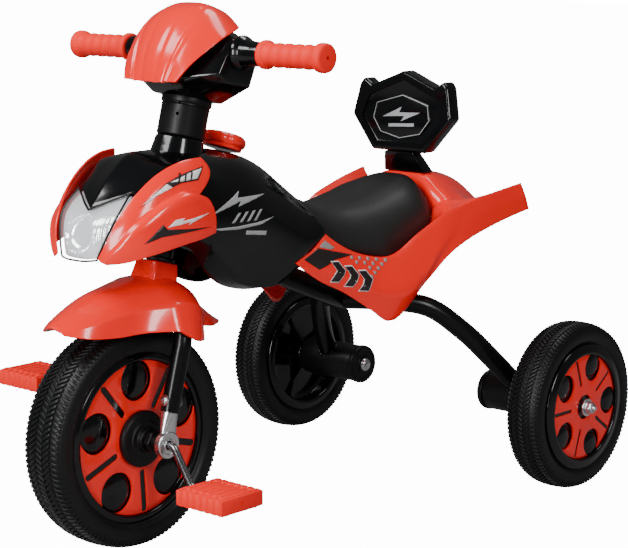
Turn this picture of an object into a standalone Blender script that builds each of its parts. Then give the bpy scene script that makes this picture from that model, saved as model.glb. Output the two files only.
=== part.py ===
"""Children's pedal tricycle: direct-drive front wheel, raked steering, plastic shells on a steel frame.

Metres, +Z up. The origin is on the floor below the middle of the overall length.
The front faces -Y and the rider's left is +X. Shell points are given from the body datum,
which is the spot above the front axle that is level with the top of the front tyre.
Steering pieces are given in the steering frame: its origin is the front axle's centre and
its local Z runs up the raked steering axis.
"""
from math import cos, pi, radians, sin

import bmesh
import bpy
from mathutils import Matrix, Vector

# ---- driving dimensions (metres, degrees) ----
FRONT_WHEEL_R = 0.128
FRONT_TYRE_W = 0.062
REAR_WHEEL_R = 0.105
REAR_TYRE_W = 0.048
WHEELBASE = 0.5375
REAR_TRACK = 0.468
STEERING_RAKE = 15.5

FRONT_RIM_R = 0.0995
FRONT_DISC_R = 0.089
REAR_RIM_R = 0.0795
REAR_DISC_R = 0.0675
DISC_T = 0.0032
FRONT_HUB_R = 0.022
REAR_HUB_R = 0.018
HUB_FLANGE_R = 0.0325
HUB_SPACER_R = 0.010
FRONT_HUB_FACE = 0.0255
REAR_HUB_FACE = 0.0262
EYE_T = 0.009
EYE_R = 0.0155

CRANK_ROD_R = 0.0045
CRANK_THROW = 0.0425
CRANK_BEND = 0.006
CRANK_ANGLE = 8.0
PEDAL_L = 0.070
PEDAL_W = 0.064
PEDAL_T = 0.020
PEDAL_INNER_X = 0.122
PEDAL_END_WALL = 0.004

FORK_HALF_W = 0.0635
AXLE_EYE_OFFSET = 0.005
FORK_TUBE_R = 0.0105
STEERER_R = 0.0125
HEAD_TUBE_R = 0.017
FORK_TOP_ABOVE_TYRE = 0.035
HEAD_GAP_ABOVE_FORK = 0.042
HEAD_TUBE_L = 0.087
NECK_H = 0.1378          # head tube's foot to the collar's top
STEM_COVER_R = 0.0275
STEM_COVER_L = 0.045
BAR_ABOVE_STEM = 0.056
BAR_SPAN = 0.405
BAR_TUBE_R = 0.0095
GRIP_L = 0.0955
GRIP_R = 0.0135
GRIP_FLANGE_R = 0.0165

MAIN_TUBE_R = 0.014
ARM_TUBE_R = 0.0125
TUBE_WALL = 0.0018
BUSH_R = 0.025
BUSH_L = 0.099
AXLE_BOLT_R = 0.004

SHELL_T = 0.0028
BACKREST_T = 0.022
BACKREST_LEAN = 0.11
BACKREST_RIM = 0.010

# ---- clearances ----
GAP = 0.0003          # between pieces that touch on the real thing
RUNNING_GAP = 0.0006  # between pieces that turn on each other
ROUND = 24            # sides of a wheel; one flat side stands on the floor

# ---- derived places ----
OVERALL_LENGTH = FRONT_WHEEL_R + WHEELBASE + REAR_WHEEL_R
FRONT_AXLE_Y = FRONT_WHEEL_R - OVERALL_LENGTH / 2
REAR_AXLE_Y = FRONT_AXLE_Y + WHEELBASE
TYRE_TOP_Z = 2 * FRONT_WHEEL_R
FORK_TOP = FRONT_WHEEL_R + FORK_TOP_ABOVE_TYRE
HEAD_BASE = FORK_TOP + HEAD_GAP_ABOVE_FORK
HEAD_TOP = HEAD_BASE + HEAD_TUBE_L
BEARING_T = 0.0042
COLLAR_BASE = HEAD_TOP + BEARING_T + 2 * GAP
COLLAR_TOP = HEAD_BASE + NECK_H
COLLAR_R = STEM_COVER_R + 0.0045
STEM_BASE = COLLAR_TOP + RUNNING_GAP
STEM_TOP = STEM_BASE + STEM_COVER_L
BAR_HEIGHT = STEM_TOP + BAR_ABOVE_STEM

for thing in list(bpy.data.objects):
    bpy.data.objects.remove(thing, do_unlink=True)


# ---- materials ----
def finish(name, colour, roughness, metallic=0.0, alpha=1.0):
    mat = bpy.data.materials.new(name)
    mat.use_nodes = True
    shader = mat.node_tree.nodes["Principled BSDF"]
    shader.inputs["Base Color"].default_value = (*colour, 1.0)
    shader.inputs["Roughness"].default_value = roughness
    shader.inputs["Metallic"].default_value = metallic
    shader.inputs["Alpha"].default_value = alpha
    return mat


RED_GLOSS = finish("red_gloss", (0.87, 0.045, 0.022), 0.22)
RED_SOFT = finish("red_soft", (0.85, 0.05, 0.035), 0.6)
BLACK_GLOSS = finish("black_gloss", (0.008, 0.009, 0.010), 0.12)
BLACK_SATIN = finish("black_satin", (0.015, 0.015, 0.016), 0.5)
BLACK_PAINT = finish("black_paint", (0.012, 0.012, 0.013), 0.3)
TYRE_BLACK = finish("tyre_black", (0.02, 0.02, 0.022), 0.75)
ZINC = finish("zinc", (0.62, 0.62, 0.63), 0.28, metallic=1.0)
SILVER = finish("silver", (0.8, 0.8, 0.8), 0.15, metallic=0.9)
CLEAR = finish("clear", (0.9, 0.93, 0.95), 0.05, alpha=0.4)


# ---- placing ----
def empty(name, location=(0, 0, 0), tilt=0.0, parent=None):
    holder = bpy.data.objects.new(name, None)
    bpy.context.collection.objects.link(holder)
    holder.location = location
    holder.rotation_euler = (radians(tilt), 0, 0)
    holder.parent = parent
    return holder


FLOOR = empty("tricycle")
DATUM = empty("body_datum", (0, FRONT_AXLE_Y, TYRE_TOP_Z), parent=FLOOR)
STEERING = empty("steering_axis", (0, FRONT_AXLE_Y, FRONT_WHEEL_R), -STEERING_RAKE, FLOOR)
FRONT_AXLE = empty("front_axle", (0, FRONT_AXLE_Y, FRONT_WHEEL_R), parent=FLOOR)
REAR_AXLE = empty("rear_axle", (0, REAR_AXLE_Y, REAR_WHEEL_R), parent=FLOOR)


def add(name, bm, mat, parent, angle=35):
    """Makes an object of a bmesh, with its faces turned out."""
    bmesh.ops.remove_doubles(bm, verts=bm.verts, dist=1e-6)
    bmesh.ops.recalc_face_normals(bm, faces=bm.faces)
    mesh = bpy.data.meshes.new(name)
    bm.to_mesh(mesh)
    bm.free()
    if mat:
        mesh.materials.append(mat)
    mesh.shade_smooth()
    mesh.set_sharp_from_angle(angle=radians(angle))
    obj = bpy.data.objects.new(name, mesh)
    bpy.context.collection.objects.link(obj)
    obj.parent = parent
    return obj


def boolean(obj, bm, operation="DIFFERENCE", parent=None):
    """Cuts or joins a hidden helper solid, given in the frame of parent or of the object's parent."""
    helper = add(obj.name + "_tool", bm, None, parent or obj.parent)
    helper.hide_render = True
    helper.display_type = "WIRE"
    mod = obj.modifiers.new(operation.lower(), "BOOLEAN")
    mod.operation = operation
    mod.object = helper


# ---- shape helpers ----
def along_z(p):
    return Vector((p[0], p[1], p[2]))


def along_x(p):
    """Turns a shape made about Z so that it lies about X."""
    return Vector((p[2], p[0], p[1]))


def turned(profile, sides=ROUND, ring=False, put=along_x, start=0.5):
    """Spins (radius, distance) points about an axis. A ring's profile closes on itself."""
    bm = bmesh.new()
    rows = []
    for r, h in profile:
        if r < 1e-9:
            rows.append([bm.verts.new(put((0, 0, h)))])
            continue
        row = []
        for i in range(sides):
            a = 2 * pi * (i + start) / sides - pi / 2
            row.append(bm.verts.new(put((r * cos(a), r * sin(a), h))))
        rows.append(row)
    pairs = list(zip(rows, rows[1:]))
    if ring:
        pairs.append((rows[-1], rows[0]))
    for a, b in pairs:
        for i in range(sides):
            j = (i + 1) % sides
            corners = [a[i % len(a)], a[j % len(a)], b[j % len(b)], b[i % len(b)]]
            unique = list(dict.fromkeys(corners))
            if len(unique) > 2:
                bm.faces.new(unique)
    return bm


def rod(radius, low, high, sides=12, put=along_x):
    return turned([(0, low), (radius, low), (radius, high), (0, high)], sides, put=put)


def collar(outer, inner, low, high, sides=16, put=along_x):
    """A ring. Its bore is measured across the flats, so that what it holds fits."""
    bore = inner / cos(pi / sides)
    return turned([(bore, low), (outer, low), (outer, high), (bore, high)], sides, True, put)


def smooth_path(points, steps):
    """Reads a Catmull-Rom curve through the points."""
    pts = [Vector(p) for p in points]
    pts = [2 * pts[0] - pts[1]] + pts + [2 * pts[-1] - pts[-2]]
    out = []
    for a, b, c, d in zip(pts, pts[1:], pts[2:], pts[3:]):
        for k in range(steps):
            t = k / steps
            out.append(0.5 * (2 * b + (c - a) * t + (2 * a - 5 * b + 4 * c - d) * t * t
                              + (3 * b - a - 3 * c + d) * t ** 3))
    return out + [pts[-2]]


def bent_path(corners, reach, steps=4):
    """Rounds the corners of a bent bar. The bend starts and ends at reach from its corner."""
    out = [corners[0]]
    for a, b, c in zip(corners, corners[1:], corners[2:]):
        start = b + (a - b).normalized() * reach
        end = b + (c - b).normalized() * reach
        for k in range(steps + 1):
            t = k / steps
            out.append(start.lerp(b, t).lerp(b.lerp(end, t), t))
    return out + [corners[-1]]


def pipe(path, radius, sides=12, bore=0.0):
    """A round bar along a path, or a tube where it has a bore."""
    bm = bmesh.new()
    side = None
    rings = []
    for i, p in enumerate(path):
        ahead = (path[min(i + 1, len(path) - 1)] - path[max(i - 1, 0)]).normalized()
        if side is None:
            side = ahead.orthogonal().normalized()
        side = (side - ahead * side.dot(ahead)).normalized()
        up = ahead.cross(side)
        turns = [2 * pi * k / sides for k in range(sides)]
        walls = [[bm.verts.new(p + (side * cos(a) + up * sin(a)) * r) for a in turns]
                 for r in ([radius, bore] if bore else [radius])]
        rings.append(walls)
    for one, two in zip(rings, rings[1:]):
        for wa, wb in zip(one, two):
            for k in range(sides):
                n = (k + 1) % sides
                bm.faces.new((wa[k], wa[n], wb[n], wb[k]))
    for walls in (rings[0], rings[-1]):
        if bore:
            for k in range(sides):
                n = (k + 1) % sides
                bm.faces.new((walls[0][k], walls[0][n], walls[1][n], walls[1][k]))
        else:
            bm.faces.new(walls[0])
    return bm


def prism(outline, low, high, put=along_z):
    """Extrudes a flat outline from low to high."""
    bm = bmesh.new()
    ends = [[bm.verts.new(put((u, v, h))) for u, v in outline] for h in (low, high)]
    bm.faces.new(ends[0])
    bm.faces.new(ends[1])
    for i in range(len(outline)):
        j = (i + 1) % len(outline)
        bm.faces.new((ends[0][i], ends[0][j], ends[1][j], ends[1][i]))
    return bm


def hull(points):
    bm = bmesh.new()
    for p in points:
        bm.verts.new(p)
    made = bmesh.ops.convex_hull(bm, input=bm.verts)
    bmesh.ops.delete(bm, geom=[g for g in made["geom_interior"] if g.is_valid], context="VERTS")
    return bm


def mirror_x(points):
    return [(-x, y, z) for x, y, z in points]


def both_sides(half):
    """Completes a row that runs from the middle plane out to the left edge."""
    return mirror_x(half[:0:-1]) + list(half)


def sheet(rows):
    """A sheet of quads over rows of points."""
    bm = bmesh.new()
    grid = [[bm.verts.new(p) for p in row] for row in rows]
    for a, b in zip(grid, grid[1:]):
        for i in range(len(a) - 1):
            bm.faces.new((a[i], a[i + 1], b[i + 1], b[i]))
    return bm


def shell(name, rows, mat, parent, outside, thickness=SHELL_T):
    """A moulded wall over rows of points. Its thickness grows away from the point outside."""
    obj = add(name, sheet(rows), mat, parent)
    polys = obj.data.polygons
    facing = sum(f.area * f.normal.dot(Vector(outside) - f.center) for f in polys)
    if facing < 0:
        obj.data.flip_normals()
    wall = obj.modifiers.new("wall", "SOLIDIFY")
    wall.thickness = thickness
    wall.offset = -1
    wall.use_even_offset = False
    return obj


# ---- frame ----
def about_bar(p):
    """Turns a shape made about Z so that it lies about the handlebar."""
    return Vector((p[2], p[0], BAR_HEIGHT + p[1]))


def on_steering_axis(height):
    """A point on the steering axis, as seen from the body datum."""
    rake = radians(STEERING_RAKE)
    return Vector((0, height * sin(rake), height * cos(rake) - FRONT_WHEEL_R))


MAIN_TUBE_TOP = on_steering_axis(HEAD_BASE + 0.033)
MAIN_TUBE_END = Vector((0, 0.372, -0.022))
BUSH_OUTER_X = REAR_TRACK / 2 - 0.029
BUSH_INNER_X = BUSH_OUTER_X - BUSH_L
ARM_X = BUSH_OUTER_X - 0.038


def rear_axle_point(x, back=0.0, up=0.0):
    """A point near the rear axle, as seen from the body datum."""
    return Vector((x, WHEELBASE + back, REAR_WHEEL_R - TYRE_TOP_Z + up))


def make_frame():
    head = collar(HEAD_TUBE_R, STEERER_R + RUNNING_GAP, HEAD_BASE, HEAD_TOP, put=along_z)
    add("head_tube", head, BLACK_PAINT, STEERING)
    for name, low in (("lower_head_bearing", HEAD_BASE - BEARING_T - GAP),
                      ("upper_head_bearing", HEAD_TOP + GAP)):
        ring = collar(HEAD_TUBE_R + 0.003, STEERER_R + RUNNING_GAP, low, low + BEARING_T, put=along_z)
        add(name, ring, BLACK_SATIN, STEERING)

    path = [MAIN_TUBE_TOP, MAIN_TUBE_TOP.lerp(MAIN_TUBE_END, 0.5), MAIN_TUBE_END]
    tube = add("main_tube", pipe(path, MAIN_TUBE_R, 14, MAIN_TUBE_R - TUBE_WALL), BLACK_PAINT, DATUM)
    boolean(tube, rod(HEAD_TUBE_R + GAP, HEAD_BASE - 0.01, HEAD_TOP, 16, along_z), parent=STEERING)

    for side, s in (("left", 1), ("right", -1)):
        end = rear_axle_point(ARM_X)
        start = MAIN_TUBE_END + Vector((0.012, -0.012, 0.002))
        knee = Vector((0.092, 0.430, -0.030))
        route = [start, start.lerp(knee, 0.5) + Vector((0.002, 0, 0.003)), knee,
                 knee.lerp(end, 0.34) + Vector((0.002, -0.005, 0.012)),
                 knee.lerp(end, 0.66) + Vector((0.004, -0.004, 0.008)), end]
        route = [Vector((s * p.x, p.y, p.z)) for p in route]
        arm = add("rear_arm_" + side, pipe(smooth_path(route, 2), ARM_TUBE_R, 10, ARM_TUBE_R - TUBE_WALL),
                  BLACK_PAINT, DATUM)
        along = (MAIN_TUBE_END - MAIN_TUBE_TOP).normalized()
        core = [MAIN_TUBE_END - along * 0.09, MAIN_TUBE_END + along * GAP]
        boolean(arm, pipe(core, MAIN_TUBE_R + GAP, 16))
        boolean(arm, rod(BUSH_R + GAP, s * (ARM_X - 0.05), s * (ARM_X + 0.05), 24), parent=REAR_AXLE)

        low, high = sorted((s * (BUSH_INNER_X + 0.009), s * BUSH_OUTER_X))
        add("axle_bush_" + side, collar(BUSH_R, AXLE_BOLT_R + GAP, low, high, 24), BLACK_SATIN, REAR_AXLE)
        low, high = sorted((s * BUSH_INNER_X, s * (BUSH_INNER_X + 0.009 - GAP)))
        add("bush_cap_" + side, collar(BUSH_R + 0.001, AXLE_BOLT_R + GAP, low, high, 24), BLACK_SATIN,
            REAR_AXLE)
        head_x = BUSH_INNER_X - GAP
        tip_x = REAR_TRACK / 2 + 0.040
        bolt = [(0, head_x - 0.006), (0.006, head_x - 0.006), (0.009, head_x - 0.003), (0.009, head_x),
                (AXLE_BOLT_R, head_x), (AXLE_BOLT_R, tip_x), (0, tip_x)]
        add("axle_bolt_" + side, turned([(r, s * x) for r, x in bolt], 12), ZINC, REAR_AXLE)
        face = REAR_TRACK / 2 + REAR_HUB_FACE + GAP
        low, high = sorted((s * face, s * (face + 0.0016)))
        add("axle_washer_" + side, collar(0.0105, AXLE_BOLT_R + GAP, low, high, 16), ZINC, REAR_AXLE)
        low, high = sorted((s * (face + 0.0016 + GAP), s * (face + 0.0086)))
        add("axle_nut_" + side, collar(0.0082, AXLE_BOLT_R + GAP, low, high, 6), ZINC, REAR_AXLE)


# ---- wheels ----
def tyre_profile(radius, rim, width):
    """A crowned tread with a flat middle band, (radius, across)."""
    half = width / 2
    flat = radius / cos(pi / ROUND)
    wall = flat - rim
    return [(rim, -half * 0.74), (rim + wall * 0.34, -half), (rim + wall * 0.72, -half * 0.94),
            (flat - wall * 0.06, -half * 0.66), (flat, -half * 0.4), (flat, half * 0.4),
            (flat - wall * 0.06, half * 0.66), (rim + wall * 0.72, half * 0.94),
            (rim + wall * 0.34, half), (rim, half * 0.74)]


def rim_profile(rim, disc, hub, bore, seat, face):
    """A wheel core: a barrel under the tyre, a thin web and a hub, (radius, across)."""
    right = [(rim - GAP, seat), (disc + 0.0014, seat + 0.003), (disc - 0.001, 0.004), (hub, 0.004),
             (hub, face), (bore, face)]
    return right + [(r, -x) for r, x in reversed(right)]


def wheel_disc(radius, hole, low, high, windows, phase, window_at, window_r, slot):
    """A red disc with round windows, open at its edge, that alternate with narrow slots."""
    disc = turned([(hole, low), (radius, low), (radius, high), (hole, high)], ROUND, True)
    tools = bmesh.new()
    points = 10
    for k in range(windows):
        a = 2 * pi * k / windows + radians(phase)
        for turn, shape in ((a, "window"), (a + pi / windows, "slot")):
            out = Vector((cos(turn), sin(turn)))
            across = Vector((-out.y, out.x))
            outline = []
            for i in range(points):
                b = 2 * pi * i / points
                if shape == "window":
                    u, v = window_at + window_r * cos(b), window_r * sin(b)
                else:
                    inner, outer, half_w = slot
                    u = (inner + outer) / 2 + (outer - inner) / 2 * cos(b)
                    v = half_w * sin(b)
                outline.append(out * u + across * v)
            ends = [[tools.verts.new((h, p.x, p.y)) for p in outline] for h in (low - 0.01, high + 0.01)]
            tools.faces.new(ends[0])
            tools.faces.new(ends[1])
            for i in range(points):
                j = (i + 1) % points
                tools.faces.new((ends[0][i], ends[0][j], ends[1][j], ends[1][i]))
    return disc, tools


def make_front_wheel():
    add("front_tyre", turned(tyre_profile(FRONT_WHEEL_R, FRONT_RIM_R, FRONT_TYRE_W), ring=True),
        TYRE_BLACK, FRONT_AXLE)
    bore = CRANK_ROD_R + GAP
    profile = rim_profile(FRONT_RIM_R, FRONT_DISC_R, FRONT_HUB_R, bore, 0.0235, FRONT_HUB_FACE)
    add("front_rim", turned(profile, ring=True), BLACK_SATIN, FRONT_AXLE)
    for side, s in (("left", 1), ("right", -1)):
        low, high = sorted((s * (FRONT_HUB_FACE - DISC_T), s * FRONT_HUB_FACE))
        body, tools = wheel_disc(FRONT_DISC_R - GAP, FRONT_HUB_R + GAP, low, high,
                                 5, 93.5, 0.0672, 0.0235, (0.038, 0.084, 0.0041))
        boolean(add("front_disc_" + side, body, RED_GLOSS, FRONT_AXLE), tools)
        face = FRONT_HUB_FACE + GAP
        end = FORK_HALF_W + AXLE_EYE_OFFSET - EYE_T / 2 - RUNNING_GAP
        flange = [(bore, face), (HUB_FLANGE_R, face), (HUB_FLANGE_R, face + 0.006),
                  (HUB_FLANGE_R - 0.003, face + 0.009), (HUB_SPACER_R + 0.003, face + 0.010),
                  (HUB_SPACER_R, face + 0.014), (HUB_SPACER_R, end), (bore, end)]
        add("hub_flange_" + side, turned([(r, s * x) for r, x in flange], 20, True), BLACK_SATIN,
            FRONT_AXLE)

    a = radians(CRANK_ANGLE)
    down = Vector((0, -sin(a), -cos(a))) * CRANK_THROW
    inner = Vector((FORK_HALF_W + AXLE_EYE_OFFSET + EYE_T / 2 + RUNNING_GAP + CRANK_BEND, 0, 0))
    outer = Vector((PEDAL_INNER_X - RUNNING_GAP - CRANK_BEND, 0, 0)) + down
    tip = Vector((PEDAL_INNER_X + PEDAL_L - PEDAL_END_WALL, 0, 0)) + down
    corners = [-tip, -outer, -inner, inner, outer, tip]
    add("crank_axle", pipe(bent_path(corners, CRANK_BEND), CRANK_ROD_R, 10), ZINC, FRONT_AXLE)
    for side, s in (("left", 1), ("right", -1)):
        holder = empty("pedal_axis_" + side, down * s, parent=FRONT_AXLE)
        make_pedal("pedal_" + side, s, holder)


def make_pedal(name, s, parent):
    """A flat pedal whose front and back edges are scalloped."""
    teeth = 5
    low, high = PEDAL_INNER_X, PEDAL_INNER_X + PEDAL_L
    outline = []
    for edge in (1, -1):
        for k in range(2 * teeth + 1):
            u = k / (2 * teeth)
            x = low + (high - low) * (u if edge > 0 else 1 - u)
            y = edge * (PEDAL_W / 2 - (0.004 if k % 2 else 0.0))
            outline.append((s * x, y))
    body = add(name, prism(outline, -PEDAL_T / 2, PEDAL_T / 2), RED_SOFT, parent)
    reach = sorted((s * (low - 0.01), s * (high - PEDAL_END_WALL + RUNNING_GAP)))
    boolean(body, rod(CRANK_ROD_R + RUNNING_GAP, reach[0], reach[1], 12))


def make_rear_wheels():
    for side, s in (("left", 1), ("right", -1)):
        centre = empty("rear_wheel_" + side, (s * REAR_TRACK / 2, 0, 0), parent=REAR_AXLE)
        add("rear_tyre_" + side, turned(tyre_profile(REAR_WHEEL_R, REAR_RIM_R, REAR_TYRE_W), ring=True),
            TYRE_BLACK, centre)
        profile = rim_profile(REAR_RIM_R, REAR_DISC_R, REAR_HUB_R, AXLE_BOLT_R + RUNNING_GAP, 0.018,
                              REAR_HUB_FACE)
        add("rear_rim_" + side, turned(profile, ring=True), BLACK_SATIN, centre)
        face = REAR_HUB_FACE - 0.002
        low, high = sorted((s * (face - DISC_T), s * face))
        body, tools = wheel_disc(REAR_DISC_R - GAP, REAR_HUB_R + GAP, low, high,
                                 5, 72.0, 0.0515, 0.0175, (0.028, 0.064, 0.0026))
        boolean(add("rear_disc_" + side, body, RED_GLOSS, centre), tools)


# ---- steering ----
def make_steering():
    bar = BAR_HEIGHT
    add("steerer_tube", collar(STEERER_R, STEERER_R - TUBE_WALL, FORK_TOP - 0.013, bar - BAR_TUBE_R - 0.004,
                               14, along_z), BLACK_PAINT, STEERING)
    for side, s in (("left", 1), ("right", -1)):
        w, top = FORK_HALF_W, FORK_TOP
        low = 0.036
        route = [(w, 0, low), (w, 0, (low + top) / 2), (w, 0, top - 0.048), (w - 0.008, 0, top - 0.023),
                 (w - 0.028, 0, top - 0.004), (0.0, 0, top)]
        path = smooth_path([Vector((s * x, y, z)) for x, y, z in route], 2)
        leg = add("fork_leg_" + side, pipe(path, FORK_TUBE_R, 12, FORK_TUBE_R - TUBE_WALL), BLACK_PAINT,
                  STEERING)
        boolean(leg, rod(STEERER_R + GAP, top - 0.05, top + 0.05, 16, along_z))
        make_dropout("dropout_" + side, s, low)
        start = -(FORK_TUBE_R + GAP)
        head = turned([(0, start), (0.0042, start), (0.0042, start - 0.0016),
                       (0.0022, start - 0.0028), (0, start - 0.003)], 10,
                      put=lambda p, s=s: Vector((s * FORK_HALF_W + p[0], p[2], low + 0.012 + p[1])))
        add("fork_screw_" + side, head, ZINC, STEERING)
    make_fender()
    make_cockpit(bar)


def make_dropout(name, s, low):
    """The plug and eye that close a fork leg's lower end and carry the front axle."""
    t = EYE_T / 2
    x = s * FORK_HALF_W
    eye_x = s * (FORK_HALF_W + AXLE_EYE_OFFSET)
    eye = collar(EYE_R, CRANK_ROD_R + RUNNING_GAP, eye_x - t, eye_x + t, 20)
    body = add(name, eye, ZINC, STEERING)
    blade = hull([(eye_x + u, v, 0.008) for u in (-t, t) for v in (-0.0105, 0.0105)]
                 + [(x + u, v, low - GAP) for u in (-0.006, 0.006) for v in (-0.0085, 0.0085)])
    boolean(body, blade, "UNION")
    plug = FORK_TUBE_R - TUBE_WALL - GAP
    boolean(body, turned([(0, low - 0.006), (plug, low - 0.006), (plug, low + 0.026), (0, low + 0.026)], 12,
                         put=lambda p: Vector((x + p[0], p[1], p[2]))), "UNION")
    boolean(body, rod(CRANK_ROD_R + RUNNING_GAP, eye_x - 0.02, eye_x + 0.02, 16))


def make_fender():
    """The mudguard: a peaked sheet with side flaps over the fork and a square neck on the steerer."""
    lift = FRONT_WHEEL_R
    halves = [
        [(0, -0.142, -0.023), (0.008, -0.141, -0.024), (0.014, -0.139, -0.026), (0.018, -0.136, -0.029)],
        [(0, -0.120, 0.003), (0.018, -0.118, -0.003), (0.030, -0.116, -0.014), (0.035, -0.114, -0.027)],
        [(0, -0.087, 0.028), (0.024, -0.086, 0.021), (0.039, -0.084, 0.002), (0.043, -0.082, -0.021)],
        [(0, -0.050, 0.044), (0.028, -0.050, 0.037), (0.046, -0.050, 0.016), (0.052, -0.048, -0.010)],
        [(0, -0.020, 0.053), (0.034, -0.020, 0.048), (0.064, -0.019, 0.028), (0.076, -0.018, -0.001)],
        [(0, 0.010, 0.056), (0.034, 0.010, 0.051), (0.067, 0.010, 0.031), (0.081, 0.011, -0.008)],
        [(0, 0.036, 0.052), (0.031, 0.035, 0.046), (0.058, 0.034, 0.026), (0.073, 0.031, -0.006)],
        [(0, 0.066, 0.041), (0.022, 0.064, 0.035), (0.038, 0.060, 0.022), (0.047, 0.054, 0.004)],
        [(0, 0.090, 0.029), (0.014, 0.088, 0.025), (0.024, 0.084, 0.018), (0.031, 0.076, 0.011)],
        [(0, 0.108, 0.018), (0.006, 0.106, 0.0175), (0.012, 0.102, 0.017), (0.018, 0.095, 0.015)],
    ]
    rows = [both_sides([(x, y, z + lift) for x, y, z in half]) for half in halves]
    fender = shell("front_fender", rows, RED_GLOSS, STEERING, (0, 0, 1.0))
    neck_low = FORK_TOP + FORK_TUBE_R + RUNNING_GAP
    neck_high = HEAD_BASE - BEARING_T - GAP - RUNNING_GAP
    neck = hull([(x, y, z) for (half, z) in ((0.0190, neck_low), (0.0172, neck_high))
                 for x, y in ((half, half), (-half, half), (half, -half), (-half, -half))])
    boolean(fender, neck, "UNION")
    boolean(fender, rod(STEERER_R + GAP, lift, HEAD_TOP, 16, along_z))


def make_cockpit(bar):
    cover = [(STEERER_R + GAP, STEM_BASE), (STEM_COVER_R - 0.0012, STEM_BASE),
             (STEM_COVER_R, STEM_BASE + 0.002), (STEM_COVER_R + 0.0018, STEM_TOP),
             (STEERER_R + GAP, STEM_TOP)]
    add("stem_cover", turned(cover, 20, True, along_z), BLACK_SATIN, STEERING)

    span = BAR_SPAN / 2
    tube_end = span - 0.005
    tube = collar(BAR_TUBE_R, BAR_TUBE_R - TUBE_WALL, -tube_end, tube_end, 12, about_bar)
    add("handlebar", tube, BLACK_PAINT, STEERING)

    box = [(0.072, -0.015, 0.012), (0.072, 0.016, 0.014), (0.072, 0.028, -0.006), (0.072, 0.024, -0.034),
           (0.072, -0.014, -0.037), (0.072, -0.028, -0.030), (0.050, -0.032, -0.004), (0.048, 0.006, 0.022),
           (0.052, 0.034, 0.012), (0.034, -0.046, -0.040), (0.026, 0.006, 0.033), (0.030, 0.038, 0.018),
           (0.030, 0.026, STEM_TOP + 0.001 - bar), (0.030, -0.026, STEM_TOP + 0.001 - bar),
           (0.034, 0.034, -0.030), (0.026, -0.044, -0.006)]
    points = [(s * x, y, z + bar) for x, y, z in box for s in (1, -1)]
    housing = add("console_housing", hull(points), BLACK_GLOSS, STEERING, 25)
    boolean(housing, rod(BAR_TUBE_R + GAP, -span, span, 14, about_bar))
    boolean(housing, rod(STEERER_R + GAP, STEM_TOP - 0.02, bar, 16, along_z))

    visor = [
        [(0, -0.0665, -0.050), (0.016, -0.0660, -0.050), (0.030, -0.0650, -0.049), (0.042, -0.0630, -0.048)],
        [(0, -0.0670, -0.022), (0.018, -0.0660, -0.023), (0.036, -0.0630, -0.024), (0.052, -0.0560, -0.028)],
        [(0, -0.0610, 0.006), (0.020, -0.0600, 0.005), (0.041, -0.0560, 0.001), (0.061, -0.0430, -0.008)],
        [(0, -0.0470, 0.034), (0.020, -0.0460, 0.033), (0.041, -0.0410, 0.027), (0.067, -0.0280, 0.010)],
        [(0, -0.0230, 0.051), (0.018, -0.0225, 0.050), (0.036, -0.0190, 0.044), (0.064, -0.0100, 0.022)],
        [(0, 0.0000, 0.0520), (0.018, 0.0000, 0.0510), (0.034, 0.0010, 0.0460), (0.058, 0.0040, 0.0300)],
    ]
    rows = [both_sides([(x, y, z + bar) for x, y, z in half]) for half in visor]
    shell("console_fairing", rows, RED_GLOSS, STEERING, (0, -1.0, bar + 1.0), 0.0025)

    for side, s in (("left", 1), ("right", -1)):
        bore = BAR_TUBE_R + GAP
        inner = span - GRIP_L
        sleeve = [(bore, 0.0725), (0.020, 0.0725), (0.0150, 0.085), (0.0130, inner - GAP),
                  (bore, inner - GAP)]
        add("bar_sleeve_" + side, turned([(r, s * x) for r, x in sleeve], 14, True, about_bar), BLACK_GLOSS,
            STEERING)
        end = span
        grip = [(bore, inner), (GRIP_FLANGE_R - 0.002, inner), (GRIP_FLANGE_R, inner + 0.003),
                (GRIP_FLANGE_R, inner + 0.007), (GRIP_R, inner + 0.011), (GRIP_R, end - 0.011),
                (GRIP_FLANGE_R, end - 0.008), (GRIP_FLANGE_R, end - 0.003), (GRIP_FLANGE_R - 0.002, end),
                (0.0022, end), (0.0022, tube_end + GAP), (bore, tube_end + GAP)]
        add("grip_" + side, turned([(r, s * x) for r, x in grip], 16, True, about_bar), RED_SOFT, STEERING)


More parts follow.
